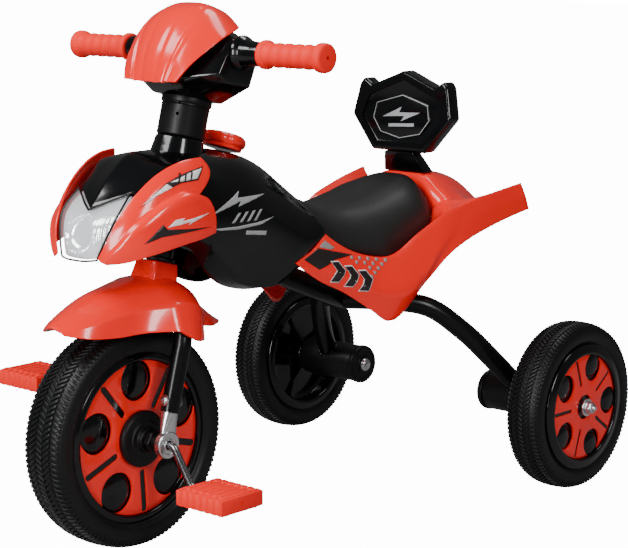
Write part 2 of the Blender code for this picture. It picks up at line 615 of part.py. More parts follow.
# ---- body ----
def make_body():
    tank = [
        [(0, -0.038, 0.140), (0.018, -0.034, 0.143), (0.034, -0.028, 0.149), (0.048, -0.020, 0.153),
         (0.052, -0.012, 0.138), (0.053, -0.006, 0.120), (0.050, 0.000, 0.108), (0.036, 0.000, 0.106)],
        [(0, -0.012, 0.165), (0.020, -0.008, 0.163), (0.040, -0.002, 0.160), (0.055, 0.004, 0.155),
         (0.060, 0.010, 0.138), (0.061, 0.014, 0.120), (0.057, 0.018, 0.106), (0.040, 0.018, 0.102)],
        [(0, 0.012, 0.188), (0.022, 0.016, 0.184), (0.042, 0.020, 0.177), (0.057, 0.024, 0.166),
         (0.064, 0.030, 0.145), (0.067, 0.034, 0.122), (0.064, 0.038, 0.102), (0.044, 0.038, 0.095)],
        [(0, 0.055, 0.191), (0.026, 0.055, 0.189), (0.049, 0.055, 0.181), (0.063, 0.055, 0.167),
         (0.072, 0.056, 0.142), (0.075, 0.060, 0.115), (0.072, 0.064, 0.092), (0.048, 0.058, 0.084)],
        [(0, 0.100, 0.190), (0.028, 0.100, 0.187), (0.053, 0.100, 0.176), (0.070, 0.100, 0.155),
         (0.077, 0.100, 0.122), (0.075, 0.098, 0.090), (0.064, 0.097, 0.064), (0.042, 0.088, 0.052)],
        [(0, 0.145, 0.185), (0.028, 0.145, 0.182), (0.052, 0.145, 0.169), (0.069, 0.145, 0.145),
         (0.075, 0.143, 0.110), (0.070, 0.140, 0.070), (0.053, 0.136, 0.034), (0.034, 0.126, 0.030)],
        [(0, 0.190, 0.169), (0.025, 0.190, 0.166), (0.047, 0.190, 0.153), (0.063, 0.190, 0.130),
         (0.070, 0.190, 0.100), (0.069, 0.188, 0.064), (0.056, 0.184, 0.029), (0.036, 0.176, 0.025)],
        [(0, 0.218, 0.150), (0.022, 0.218, 0.147), (0.043, 0.220, 0.136), (0.058, 0.222, 0.118),
         (0.066, 0.222, 0.098), (0.068, 0.220, 0.074), (0.060, 0.217, 0.051), (0.040, 0.213, 0.046)],
        [(0, 0.236, 0.136), (0.020, 0.238, 0.133), (0.038, 0.243, 0.123), (0.052, 0.250, 0.108),
         (0.060, 0.258, 0.096), (0.063, 0.262, 0.088), (0.062, 0.260, 0.080), (0.044, 0.256, 0.076)],
    ]
    shell_tank = shell("tank_shell", [both_sides(h) for h in tank], BLACK_GLOSS, DATUM, (0, 0.1, 1.0))
    boolean(shell_tank, rod(COLLAR_R + GAP, HEAD_TOP - 0.02, STEM_TOP, 24, along_z), parent=STEERING)

    neck = STEERER_R + RUNNING_GAP
    low, high = COLLAR_BASE, COLLAR_TOP
    shoulder = high - 0.026
    foot = low + min(0.006, (shoulder - low) / 2)
    profile = [(neck, low), (COLLAR_R - 0.002, low), (COLLAR_R, foot), (COLLAR_R, shoulder),
               (STEM_COVER_R, high), (neck, high)]
    add("head_collar", turned(profile, 24, True, along_z), BLACK_GLOSS, STEERING)

    for side, s in (("left", 1), ("right", -1)):
        make_side_fairing("side_fairing_" + side, s)
    make_headlight()
    make_cap()
    make_seat_and_tail()
    make_backrest()


def make_side_fairing(name, s):
    half = [
        [(0.034, -0.066, 0.086), (0.036, -0.066, 0.083), (0.039, -0.065, 0.081), (0.043, -0.062, 0.079)],
        [(0.044, -0.060, 0.106), (0.052, -0.057, 0.100), (0.058, -0.053, 0.092), (0.062, -0.048, 0.082)],
        [(0.053, -0.050, 0.130), (0.064, -0.045, 0.120), (0.073, -0.038, 0.107), (0.076, -0.032, 0.088)],
        [(0.060, -0.028, 0.148), (0.072, -0.024, 0.137), (0.082, -0.016, 0.118), (0.084, -0.010, 0.093)],
        [(0.066, -0.002, 0.166), (0.078, 0.002, 0.153), (0.088, 0.008, 0.130), (0.089, 0.014, 0.098)],
        [(0.0715, 0.028, 0.178), (0.081, 0.032, 0.160), (0.091, 0.036, 0.136), (0.092, 0.038, 0.102)],
        [(0.072, 0.066, 0.190), (0.081, 0.042, 0.162), (0.090, 0.052, 0.130), (0.092, 0.060, 0.106)],
    ]
    rows = [[(s * x, y, z) for x, y, z in row] for row in half]
    shell(name, rows, RED_GLOSS, DATUM, (s * 1.0, 0, 0.4), 0.0022)


def make_headlight():
    lens = [
        [(0, -0.070, 0.081), (0.012, -0.069, 0.081), (0.022, -0.067, 0.082), (0.029, -0.063, 0.083)],
        [(0, -0.071, 0.100), (0.015, -0.070, 0.100), (0.028, -0.065, 0.102), (0.037, -0.058, 0.104)],
        [(0, -0.064, 0.120), (0.017, -0.063, 0.121), (0.033, -0.057, 0.124), (0.044, -0.049, 0.126)],
        [(0, -0.046, 0.136), (0.017, -0.043, 0.140), (0.034, -0.037, 0.146), (0.048, -0.029, 0.151)],
    ]
    rows = [both_sides(h) for h in lens]
    shell("headlight_lens", rows, CLEAR, DATUM, (0, -1.0, 0.3), 0.002)
    depth = Vector((0, 0.0055, -0.001))
    bowl = []
    for i, half in enumerate(lens):
        row = []
        for k, p in enumerate(half):
            sink = 0.012 * sin(pi * (i + 0.5) / len(lens)) * cos(pi / 2 * k / (len(half) - 1))
            q = Vector(p) + depth + Vector((0, sink, 0))
            row.append((q.x * 0.93, q.y, 0.115 + (q.z - 0.115) * 0.9))
        bowl.append(both_sides(row))
    shell("headlight_reflector", bowl, SILVER, DATUM, (0, -1.0, 0.3), 0.0015)


def make_cap():
    """The lobed filler cap on the sloping top of the tank."""
    lobes, r, tall = 6, 0.0255, 0.019
    slope = radians(-19)
    centre = Vector((0, 0.1585, 0.1845))
    turn = Matrix.Rotation(slope, 3, "X")

    def place(p):
        a = p[3]
        swell = 1 + 0.06 * cos(lobes * a)
        return centre + turn @ Vector((p[0] * swell, p[1] * swell, p[2]))

    bm = bmesh.new()
    levels = [(r * 0.84, 0.0), (r * 0.98, 0.003), (r, tall * 0.55), (r * 0.86, tall * 0.9), (r * 0.5, tall)]
    rows = []
    for radius, h in levels:
        angles = [2 * pi * k / 24 for k in range(24)]
        rows.append([bm.verts.new(place((radius * cos(a), radius * sin(a), h, a))) for a in angles])
    for a, b in zip(rows, rows[1:]):
        for k in range(24):
            n = (k + 1) % 24
            bm.faces.new((a[k], a[n], b[n], b[k]))
    bm.faces.new(rows[0])
    bm.faces.new(rows[-1])
    add("tank_cap", bm, RED_GLOSS, DATUM)


def make_seat_and_tail():
    seat = [
        [(0, 0.2405, 0.132), (0.020, 0.2425, 0.129), (0.036, 0.247, 0.119), (0.049, 0.254, 0.105),
         (0.057, 0.262, 0.092), (0.060, 0.268, 0.080)],
        [(0, 0.270, 0.118), (0.022, 0.270, 0.115), (0.040, 0.272, 0.106), (0.053, 0.276, 0.092),
         (0.060, 0.280, 0.078), (0.061, 0.282, 0.067)],
        [(0, 0.310, 0.104), (0.025, 0.310, 0.103), (0.047, 0.310, 0.096), (0.062, 0.312, 0.080),
         (0.068, 0.315, 0.062), (0.068, 0.318, 0.051)],
        [(0, 0.355, 0.103), (0.030, 0.355, 0.103), (0.056, 0.357, 0.096), (0.073, 0.360, 0.075),
         (0.080, 0.362, 0.052), (0.080, 0.364, 0.041)],
        [(0, 0.400, 0.110), (0.032, 0.400, 0.110), (0.058, 0.402, 0.103), (0.074, 0.408, 0.085),
         (0.079, 0.413, 0.066), (0.079, 0.416, 0.056)],
        [(0, 0.440, 0.121), (0.030, 0.440, 0.120), (0.052, 0.441, 0.114), (0.066, 0.447, 0.100),
         (0.072, 0.452, 0.087), (0.073, 0.456, 0.078)],
        [(0, 0.474, 0.127), (0.022, 0.473, 0.125), (0.038, 0.471, 0.117), (0.048, 0.470, 0.108),
         (0.054, 0.467, 0.098), (0.056, 0.465, 0.091)],
        [(0, 0.487, 0.116), (0.022, 0.484, 0.113), (0.036, 0.479, 0.106), (0.045, 0.474, 0.098),
         (0.050, 0.471, 0.092), (0.052, 0.469, 0.088)],
    ]
    shell("seat", [both_sides(h) for h in seat], BLACK_SATIN, DATUM, (0, 0.35, 2.0))

    tail = [
        [(0, 0.275, 0.088), (0.030, 0.272, 0.080), (0.052, 0.270, 0.070), (0.0645, 0.269, 0.078),
         (0.067, 0.266, 0.078), (0.071, 0.238, 0.062), (0.069, 0.212, 0.050)],
        [(0, 0.300, 0.080), (0.034, 0.298, 0.072), (0.055, 0.292, 0.056), (0.066, 0.290, 0.062),
         (0.074, 0.288, 0.062), (0.080, 0.262, 0.040), (0.074, 0.245, 0.026)],
        [(0, 0.330, 0.074), (0.038, 0.330, 0.066), (0.062, 0.325, 0.042), (0.073, 0.322, 0.048),
         (0.081, 0.318, 0.049), (0.088, 0.297, 0.020), (0.080, 0.285, 0.006)],
        [(0, 0.365, 0.072), (0.045, 0.365, 0.062), (0.073, 0.366, 0.031), (0.0845, 0.362, 0.039),
         (0.091, 0.354, 0.044), (0.098, 0.335, 0.000), (0.088, 0.322, -0.018)],
        [(0, 0.400, 0.080), (0.045, 0.402, 0.074), (0.072, 0.412, 0.044), (0.0835, 0.413, 0.056),
         (0.103, 0.398, 0.070), (0.109, 0.372, -0.003), (0.095, 0.348, -0.036)],
        [(0, 0.440, 0.092), (0.042, 0.442, 0.086), (0.066, 0.450, 0.060), (0.0775, 0.456, 0.079),
         (0.114, 0.443, 0.093), (0.117, 0.424, 0.045), (0.110, 0.405, 0.008)],
        [(0, 0.484, 0.094), (0.030, 0.480, 0.086), (0.050, 0.470, 0.072), (0.0665, 0.470, 0.090),
         (0.1185, 0.463, 0.098), (0.120, 0.455, 0.070), (0.120, 0.440, 0.040)],
        [(0, 0.4925, 0.127), (0.030, 0.4895, 0.125), (0.057, 0.482, 0.112), (0.078, 0.478, 0.098),
         (0.122, 0.485, 0.103), (0.124, 0.478, 0.080), (0.125, 0.470, 0.055)],
        [(0, 0.535, 0.126), (0.030, 0.530, 0.123), (0.056, 0.516, 0.110), (0.082, 0.510, 0.094),
         (0.126, 0.512, 0.109), (0.128, 0.506, 0.088), (0.129, 0.500, 0.065)],
        [(0, 0.570, 0.117), (0.028, 0.565, 0.112), (0.053, 0.550, 0.097), (0.086, 0.528, 0.090),
         (0.130, 0.541, 0.114), (0.132, 0.538, 0.094), (0.133, 0.534, 0.074)],
        [(0, 0.604, 0.094), (0.027, 0.600, 0.090), (0.050, 0.582, 0.082), (0.086, 0.540, 0.086),
         (0.1335, 0.565, 0.118), (0.137, 0.571, 0.100), (0.138, 0.577, 0.083)],
    ]
    shell("rear_body", [both_sides(h) for h in tail], RED_GLOSS, DATUM, (0, 0.4, 2.0))


def make_backrest():
    """A padded-looking shield on a short post, with a badge plate in its recess."""
    foot = 0.155
    half = [(0, 0.255), (0.050, 0.236), (0.063, 0.244), (0.069, 0.236), (0.078, 0.198), (0.042, foot)]
    outline = half + [(-x, z) for x, z in reversed(half[1:])]
    front = 0.478

    def upright(p):
        return Vector((p[0], p[2] + (p[1] - foot) * BACKREST_LEAN, p[1]))

    panel = add("backrest_panel", prism(outline, front, front + BACKREST_T, upright), BLACK_GLOSS, DATUM, 20)
    middle = (0, 0.2)

    def inset(share):
        return [(x * share, middle[1] + (z - middle[1]) * share) for x, z in outline]

    boolean(panel, prism(inset(1 - BACKREST_RIM / 0.06), front - 0.01, front + 0.005, upright))
    plate = [(0, 0.228), (0.044, 0.216), (0.048, 0.196), (0.034, 0.178), (0, 0.171)]
    plate = plate + [(-x, z) for x, z in reversed(plate[1:-1])]
    add("backrest_badge", prism(plate, front + 0.003, front + 0.005 - GAP, upright), BLACK_GLOSS, DATUM)
    low = 0.1278
    post = hull([(s * x, y, z) for s in (1, -1) for x, y, z in
                 ((0.021, 0.480, foot - GAP), (0.021, 0.494, foot - GAP), (0.028, 0.4935, low),
                  (0.028, 0.510, low))])
    add("backrest_post", post, BLACK_GLOSS, DATUM, 20)


make_frame()
make_front_wheel()
make_rear_wheels()
make_steering()
make_body()
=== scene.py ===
from math import cos, pi, radians, sin

import bmesh
import bpy
from mathutils import Matrix, Vector
from mathutils.bvhtree import BVHTree


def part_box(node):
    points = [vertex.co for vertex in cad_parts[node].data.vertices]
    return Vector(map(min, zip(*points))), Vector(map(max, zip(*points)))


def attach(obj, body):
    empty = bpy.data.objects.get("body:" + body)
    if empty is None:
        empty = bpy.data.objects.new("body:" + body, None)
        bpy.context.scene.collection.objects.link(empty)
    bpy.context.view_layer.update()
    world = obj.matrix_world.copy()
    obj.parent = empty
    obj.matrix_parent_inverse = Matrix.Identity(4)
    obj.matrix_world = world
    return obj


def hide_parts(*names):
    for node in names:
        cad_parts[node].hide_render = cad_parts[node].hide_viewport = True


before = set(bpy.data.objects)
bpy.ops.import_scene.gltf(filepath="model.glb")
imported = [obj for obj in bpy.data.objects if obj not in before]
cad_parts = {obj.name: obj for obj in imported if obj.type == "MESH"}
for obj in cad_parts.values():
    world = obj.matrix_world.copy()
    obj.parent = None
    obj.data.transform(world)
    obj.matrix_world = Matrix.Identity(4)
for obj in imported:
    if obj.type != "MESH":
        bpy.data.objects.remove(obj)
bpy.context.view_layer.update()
sides = (("left", 1), ("right", -1))


# places, read from the fixed frame
def middleOf(node):
    low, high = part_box(node)
    return (Vector(low) + Vector(high)) / 2


frontAxle = middleOf("front_tyre")
rearAxle = Vector((0, middleOf("rear_tyre_left").y, middleOf("rear_tyre_left").z))
rearTrack = 2 * middleOf("rear_tyre_left").x
rake = radians(15.5)
headHeights = dict(forkTop=0.163, headBase=0.205, headTop=0.292, collarBase=0.2968, stemBase=0.3434,
                   stemTop=0.3884, bar=0.4444)


def onBody(p):  # from the spot level with the top of the front tyre, above its axle
    return Vector((p[0], p[1] + frontAxle.y, p[2] + 2 * frontAxle.z))


def onSteering(p):  # from the front axle, with z up the steering axis
    return Vector((p[0], frontAxle.y + p[1] * cos(rake) + p[2] * sin(rake),
                   frontAxle.z - p[1] * sin(rake) + p[2] * cos(rake)))


def aboutSteering(p):  # a shape turned about x stands up along the steering axis
    return onSteering((p[1], p[2], p[0]))


def onFrontAxle(p):
    return Vector((p[0], p[1] + frontAxle.y, p[2] + frontAxle.z))


def onRearAxle(p):
    return Vector((p[0], p[1] + rearAxle.y, p[2] + rearAxle.z))


# camera, floor and light
view = dict(eye=(1.634, -1.733, 0.695), aim=(0.0, 0.0667, 0.270), lens=113.9, shiftX=-0.0046, shiftY=0.001)


def makeCamera():
    data = bpy.data.cameras.new("camera")
    data.lens = view["lens"]
    data.sensor_width = 36
    data.shift_x, data.shift_y = view["shiftX"], view["shiftY"]
    cam = bpy.data.objects.new("camera", data)
    bpy.context.collection.objects.link(cam)
    cam.location = view["eye"]
    cam.rotation_euler = (Vector(view["aim"]) - Vector(view["eye"])).to_track_quat("-Z", "Y").to_euler()
    bpy.context.scene.camera = cam


makeCamera()
studio = dict(worldLight=0.12, worldSeen=16.0, floorLight=0.04, floorSeen=14.0, keyPower=46, fillPower=42,
              rimPower=18, frontPower=50)


def softLight(name, at, aim, size, power):
    data = bpy.data.lights.new(name, "AREA")
    data.shape = "RECTANGLE"
    data.size, data.size_y = size
    data.energy = power
    lamp = bpy.data.objects.new(name, data)
    bpy.context.collection.objects.link(lamp)
    lamp.location = at
    lamp.rotation_euler = (Vector(aim) - Vector(at)).to_track_quat("-Z", "Y").to_euler()


softLight("keyLight", (-0.6, -1.6, 2.0), (0, 0, 0.25), (1.5, 0.7), studio["keyPower"])
softLight("fillLight", (2.6, -0.9, 1.7), (0, 0, 0.25), (0.5, 1.2), studio["fillPower"])
softLight("topLight", (0.2, 0.7, 2.2), (0, 0.05, 0.2), (1.7, 0.5), studio["rimPower"])
softLight("frontLight", (0.5, -2.7, 0.9), (0, 0, 0.2), (0.5, 1.2), studio["frontPower"])

world = bpy.data.worlds.new("studio")
bpy.context.scene.world = world
world.use_nodes = True
worldNodes, worldLinks = world.node_tree.nodes, world.node_tree.links
background = worldNodes["Background"]
background.inputs["Color"].default_value = (1, 1, 1, 1)
seen = worldNodes.new("ShaderNodeLightPath")
strength = worldNodes.new("ShaderNodeMapRange")
strength.inputs["To Min"].default_value = studio["worldLight"]
strength.inputs["To Max"].default_value = studio["worldSeen"]
worldLinks.new(seen.outputs["Is Camera Ray"], strength.inputs["Value"])
worldLinks.new(strength.outputs["Result"], background.inputs["Strength"])
print("camera and light set")


# finishes
def makeGrainGroup():  # colour drift, roughness drift and a fine height, all on object coordinates
    group = bpy.data.node_groups.new("plasticGrain", "ShaderNodeTree")
    inputs = (("Colour", "NodeSocketColor", (1, 1, 1, 1)), ("Drift Colour", "NodeSocketColor", (1, 1, 1, 1)),
              ("Roughness", "NodeSocketFloat", 0.3), ("Roughness Drift", "NodeSocketFloat", 0.05),
              ("Patch Scale", "NodeSocketFloat", 12.0), ("Grain Scale", "NodeSocketFloat", 600.0))
    for name, kind, value in inputs:
        socket = group.interface.new_socket(name, in_out="INPUT", socket_type=kind)
        socket.default_value = value
    for name, kind in (("Colour", "NodeSocketColor"), ("Roughness", "NodeSocketFloat"),
                       ("Height", "NodeSocketFloat")):
        group.interface.new_socket(name, in_out="OUTPUT", socket_type=kind)
    nodes, links = group.nodes, group.links
    start, end = nodes.new("NodeGroupInput"), nodes.new("NodeGroupOutput")
    where = nodes.new("ShaderNodeTexCoord")
    patches, grain = nodes.new("ShaderNodeTexNoise"), nodes.new("ShaderNodeTexNoise")
    patches.inputs["Detail"].default_value = 4
    grain.inputs["Detail"].default_value = 3
    links.new(where.outputs["Object"], patches.inputs["Vector"])
    links.new(where.outputs["Object"], grain.inputs["Vector"])
    links.new(start.outputs["Patch Scale"], patches.inputs["Scale"])
    links.new(start.outputs["Grain Scale"], grain.inputs["Scale"])
    blend = nodes.new("ShaderNodeMix")
    blend.data_type = "RGBA"
    links.new(patches.outputs["Fac"], blend.inputs["Factor"])
    links.new(start.outputs["Colour"], blend.inputs["A"])
    links.new(start.outputs["Drift Colour"], blend.inputs["B"])
    drift = nodes.new("ShaderNodeMath")
    drift.operation = "MULTIPLY_ADD"
    links.new(patches.outputs["Fac"], drift.inputs[0])
    links.new(start.outputs["Roughness Drift"], drift.inputs[1])
    links.new(start.outputs["Roughness"], drift.inputs[2])
    links.new(blend.outputs["Result"], end.inputs["Colour"])
    links.new(drift.outputs["Value"], end.inputs["Roughness"])
    links.new(grain.outputs["Fac"], end.inputs["Height"])
    return group


grainGroup = makeGrainGroup()


def finish(name, colour, drift, roughness, roughDrift=0.06, patch=12, grain=600, depth=0.00004, **shader):
    mat = bpy.data.materials.new(name)
    mat.use_nodes = True
    nodes, links = mat.node_tree.nodes, mat.node_tree.links
    principled = nodes["Principled BSDF"]
    group = nodes.new("ShaderNodeGroup")
    group.node_tree = grainGroup
    for socket, value in (("Colour", (*colour, 1)), ("Drift Colour", (*drift, 1)), ("Roughness", roughness),
                          ("Roughness Drift", roughDrift), ("Patch Scale", patch), ("Grain Scale", grain)):
        group.inputs[socket].default_value = value
    bump = nodes.new("ShaderNodeBump")
    bump.inputs["Strength"].default_value = 0.6
    bump.inputs["Distance"].default_value = depth
    links.new(group.outputs["Colour"], principled.inputs["Base Color"])
    links.new(group.outputs["Roughness"], principled.inputs["Roughness"])
    links.new(group.outputs["Height"], bump.inputs["Height"])
    links.new(bump.outputs["Normal"], principled.inputs["Normal"])
    for socket, value in shader.items():
        principled.inputs[socket.replace("_", " ")].default_value = value
    return mat


redGloss = finish("redGloss", (0.97, 0.016, 0.009), (0.93, 0.012, 0.006), 0.15, 0.07, 9, 90, 0.00008,
                  Coat_Weight=0.25, Coat_Roughness=0.04, Specular_IOR_Level=0.4)
redSoft = finish("redSoft", (0.95, 0.017, 0.009), (0.90, 0.013, 0.007), 0.50, 0.12, 20, 900, 0.00012,
                 Specular_IOR_Level=0.25)
blackGloss = finish("blackGloss", (0.0020, 0.0023, 0.0028), (0.0012, 0.0014, 0.0018), 0.10, 0.08, 8, 80,
                    0.00008, Coat_Weight=0.2, Coat_Roughness=0.04, Specular_IOR_Level=0.35)
blackSatin = finish("blackSatin", (0.004, 0.004, 0.0043), (0.0025, 0.0025, 0.0028), 0.34, 0.12, 16, 500,
                    0.00008, Specular_IOR_Level=0.25)
seatBlack = finish("seatBlack", (0.007, 0.007, 0.007), (0.004, 0.004, 0.004), 0.46, 0.10, 14, 760, 0.00022)
paintBlack = finish("paintBlack", (0.003, 0.003, 0.0033), (0.002, 0.002, 0.0022), 0.24, 0.08, 14, 240,
                    0.00010, Coat_Weight=0.08, Coat_Roughness=0.12, Specular_IOR_Level=0.2)
tyreRubber = finish("tyreRubber", (0.0045, 0.0048, 0.0052), (0.003, 0.0033, 0.0036), 0.36, 0.16, 22, 700,
                    0.00012, Specular_IOR_Level=0.3)
zincPlate = finish("zincPlate", (0.72, 0.72, 0.73), (0.60, 0.60, 0.62), 0.18, 0.16, 60, 1200, 0.00003,
                   Metallic=1.0)
chromeRod = finish("chromeRod", (0.34, 0.34, 0.35), (0.26, 0.26, 0.27), 0.14, 0.10, 40, 300, 0.00003,
                   Metallic=1.0)
# the bowl's emission is painted light: a faint glow that brightens the reflector, which is no lamp
mirrorBowlPaintedGlow = finish("mirrorBowlPaintedGlow", (0.95, 0.96, 0.98), (0.88, 0.90, 0.93), 0.10, 0.08, 30, 160, 0.0004,
                    Metallic=0.75, Emission_Color=(0.93, 0.96, 1, 1), Emission_Strength=0.30)
printSilver = finish("printSilver", (0.42, 0.43, 0.44), (0.36, 0.37, 0.38), 0.32, 0.08, 30, 900, 0.00002)
printWhite = finish("printWhite", (0.80, 0.79, 0.78), (0.70, 0.69, 0.68), 0.34, 0.08, 30, 900, 0.00002)
printDark = finish("printDark", (0.020, 0.014, 0.014), (0.012, 0.010, 0.010), 0.28, 0.08, 30, 900, 0.00002)
printGrey = finish("printGrey", (0.30, 0.28, 0.27), (0.25, 0.23, 0.23), 0.32, 0.08, 30, 900, 0.00002)


def makeFloorFinish():  # a pale sweep that is lit from within as well, so that it stays pale
    mat = finish("floorPale", (0.26, 0.26, 0.26), (0.25, 0.25, 0.25), 0.85, 0.05, 2, 50, 0.00002,
                 Emission_Color=(1, 1, 1, 1))
    nodes, links = mat.node_tree.nodes, mat.node_tree.links
    glow = nodes.new("ShaderNodeMapRange")
    glow.inputs["To Min"].default_value = studio["floorLight"]
    glow.inputs["To Max"].default_value = studio["floorSeen"]
    links.new(nodes.new("ShaderNodeLightPath").outputs["Is Camera Ray"], glow.inputs["Value"])
    links.new(glow.outputs["Result"], nodes["Principled BSDF"].inputs["Emission Strength"])
    return mat


floorPale = makeFloorFinish()


clearLens = finish("clearLens", (0.95, 0.97, 1.0), (0.92, 0.94, 0.97), 0.04, 0.04, 20, 60, 0.0001,
                   Alpha=0.10, IOR=1.49)


# shaping
def through(points, steps, corners=()):  # a smooth line through the points, broken at the corners
    pts = [Vector(p) for p in points]
    last = len(pts) - 1
    stops = {0, last, *corners}

    def inner(i):
        a, b = pts[i] - pts[i - 1], pts[i + 1] - pts[i]
        return (a / a.length * b.length + b / b.length * a.length) / (a.length + b.length)

    def slope(i, other):
        chord = (pts[other] - pts[i]) / (pts[other] - pts[i]).length * (1 if other > i else -1)
        if i not in stops:
            return inner(i)
        return chord if other in stops else (3 * chord - inner(other)) / 2

    line = []
    for i in range(last):
        length = (pts[i + 1] - pts[i]).length
        m, n = slope(i, i + 1) * length, slope(i + 1, i) * length
        for k in range(steps):
            t = k / steps
            line.append(pts[i] * (2 * t ** 3 - 3 * t * t + 1) + m * (t ** 3 - 2 * t * t + t)
                        + pts[i + 1] * (3 * t * t - 2 * t ** 3) + n * (t ** 3 - t * t))
    return line + [pts[-1]]


def onBothSides(row, *columns):  # the places in a full row of a half row's columns
    middle = len(row) - 1
    return {middle + s * k for k in columns for s in (1, -1)}


def bothSides(half):
    return [(-x, y, z) for x, y, z in half[:0:-1]] + list(half)


def smoothGrid(rows, across, along, seams=(), rowSeams=(), ridge=0, edgeSeams=()):
    middle = len(rows[0]) // 2
    wide = [through(row, across, {*seams, middle} if i < ridge else seams) for i, row in enumerate(rows)]
    columns = []
    for k, column in enumerate(zip(*wide)):
        line = through(column, along, rowSeams)
        if edgeSeams:  # creases that fade out towards the middle
            out = abs(2 * k / (len(wide[0]) - 1) - 1)
            share = min(max((out - 0.35) / 0.4, 0), 1)
            line = [a.lerp(b, share) for a, b in zip(line, through(column, along, edgeSeams))]
        columns.append(line)
    return list(zip(*columns))


def sheetMesh(rows, closed=False):
    bm = bmesh.new()
    grid = [[bm.verts.new(p) for p in row] for row in rows]
    for a, b in zip(grid, grid[1:]):
        count = len(a) if closed else len(a) - 1
        for i in range(count):
            j = (i + 1) % len(a)
            bm.faces.new((a[i], a[j], b[j], b[i]))
    return bm


def newPiece(name, bm, mat, angle=40, turnOut=True):
    if turnOut:
        bmesh.ops.remove_doubles(bm, verts=bm.verts, dist=1e-6)
        bmesh.ops.recalc_face_normals(bm, faces=bm.faces)
    mesh = bpy.data.meshes.new(name)
    bm.to_mesh(mesh)
    bm.free()
    mesh.materials.append(mat)
    mesh.shade_smooth()
    mesh.set_sharp_from_angle(angle=radians(angle))
    obj = bpy.data.objects.new(name, mesh)
    bpy.context.collection.objects.link(obj)
    return obj


def bake(obj):  # turns the modifiers into plain mesh
    shape = bpy.data.meshes.new_from_object(obj.evaluated_get(bpy.context.evaluated_depsgraph_get()))
    obj.modifiers.clear()
    obj.data = shape
    return obj


def soften(obj, width, segments=2, angle=40):
    edge = obj.modifiers.new("soften", "BEVEL")
    edge.width = width
    edge.segments = segments
    edge.limit_method = "ANGLE"
    edge.angle_limit = radians(angle)
    edge.harden_normals = False
    return obj


def carve(obj, tool, operation="DIFFERENCE"):
    mod = obj.modifiers.new("carve", "BOOLEAN")
    mod.operation = operation
    mod.object = tool
    mod.solver = "EXACT"
    bake(obj)
    bpy.data.objects.remove(tool, do_unlink=True)
    return obj


def sharpen(obj, angle):
    obj.data.shade_smooth()
    obj.data.set_sharp_from_angle(angle=radians(angle))
    return obj


def settle(obj, body, slot, *stands):
    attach(obj, body)
    if stands:
        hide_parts(*stands)
    return obj


def moulded(name, rows, put, outside, thick, mat, breaks=(), across=6, along=6, rim=0.0006, **folds):
    grid = smoothGrid(rows, across, along, breaks, **folds)
    bm = sheetMesh([[put(p) for p in row] for row in grid])
    bm.faces.ensure_lookup_table()
    bm.normal_update()
    outside = put(outside)
    facing = sum(f.calc_area() * f.normal.dot(outside - f.calc_center_median()) for f in bm.faces)
    if facing < 0:
        bmesh.ops.reverse_faces(bm, faces=bm.faces)
    obj = newPiece(name, bm, mat, turnOut=False)
    wall = obj.modifiers.new("wall", "SOLIDIFY")
    wall.thickness = thick
    wall.offset = -1
    bake(obj)
    if rim:
        soften(obj, rim, 2, 60)
        bake(obj)
    return sharpen(obj, 50)


def lathe(profile, count=64, ring=False, put=None):  # (radius, along x) points
    put = put or (lambda p: Vector(p))
    bm = bmesh.new()
    rows = []
    for r, x in profile:
        if r < 1e-7:
            rows.append([bm.verts.new(put((x, 0, 0)))])
        else:
            rows.append([bm.verts.new(put((x, r * cos(2 * pi * i / count), r * sin(2 * pi * i / count))))
                         for i in range(count)])
    pairs = list(zip(rows, rows[1:])) + ([(rows[-1], rows[0])] if ring else [])
    for a, b in pairs:
        for i in range(count):
            j = (i + 1) % count
            corners = list(dict.fromkeys((a[i % len(a)], a[j % len(a)], b[j % len(b)], b[i % len(b)])))
            if len(corners) > 2:
                bm.faces.new(corners)
    return bm


def rounded(profile, radius, steps=3, ring=False):  # rounds a profile's corners
    pts = [Vector((*p, 0)) for p in profile]
    out = []
    count = len(pts)
    for i, p in enumerate(pts):
        if not ring and i in (0, count - 1):
            out.append(p)
            continue
        a, c = pts[i - 1], pts[(i + 1) % count]
        reach = min(radius, (a - p).length * 0.45, (c - p).length * 0.45)
        start, end = p + (a - p).normalized() * reach, p + (c - p).normalized() * reach
        out += [start.lerp(p, k / steps).lerp(p.lerp(end, k / steps), k / steps) for k in range(steps + 1)]
    return [(p.x, p.y) for p in out]


def turnedPiece(name, profile, mat, put, s=1, count=64, radius=0, steps=3, ring=True, angle=40):
    outline = [(r, s * x) for r, x in profile]
    if radius:
        outline = rounded(outline, radius, steps, ring)
    return newPiece(name, lathe(outline, count, ring, put), mat, angle)


def bored(obj, radius, low, high, put, count=48):  # a round hole along a piece's own axis
    tool = lathe([(0, low), (radius, low), (radius, high), (0, high)], count, put=put)
    return carve(obj, newPiece("bore", tool, obj.data.materials[0]))


def rod(name, start, end, radius, mat, count=24):
    return newPiece(name, sweep([start, end], radius, count), mat)


def sweep(path, radius, count=24):  # a round bar; radius may be a list
    bm = bmesh.new()
    side = None
    rings = []
    radii = radius if isinstance(radius, (list, tuple)) else [radius] * len(path)
    for i, p in enumerate(path):
        ahead = (path[min(i + 1, len(path) - 1)] - path[max(i - 1, 0)]).normalized()
        if side is None:
            side = ahead.orthogonal().normalized()
        side = (side - ahead * side.dot(ahead)).normalized()
        up = ahead.cross(side)
        rings.append([bm.verts.new(p + (side * cos(2 * pi * k / count)
                                        + up * sin(2 * pi * k / count)) * radii[i]) for k in range(count)])
    for a, b in zip(rings, rings[1:]):
        for k in range(count):
            j = (k + 1) % count
            bm.faces.new((a[k], a[j], b[j], b[k]))
    bm.faces.new(rings[0])
    bm.faces.new(rings[-1])
    return bm


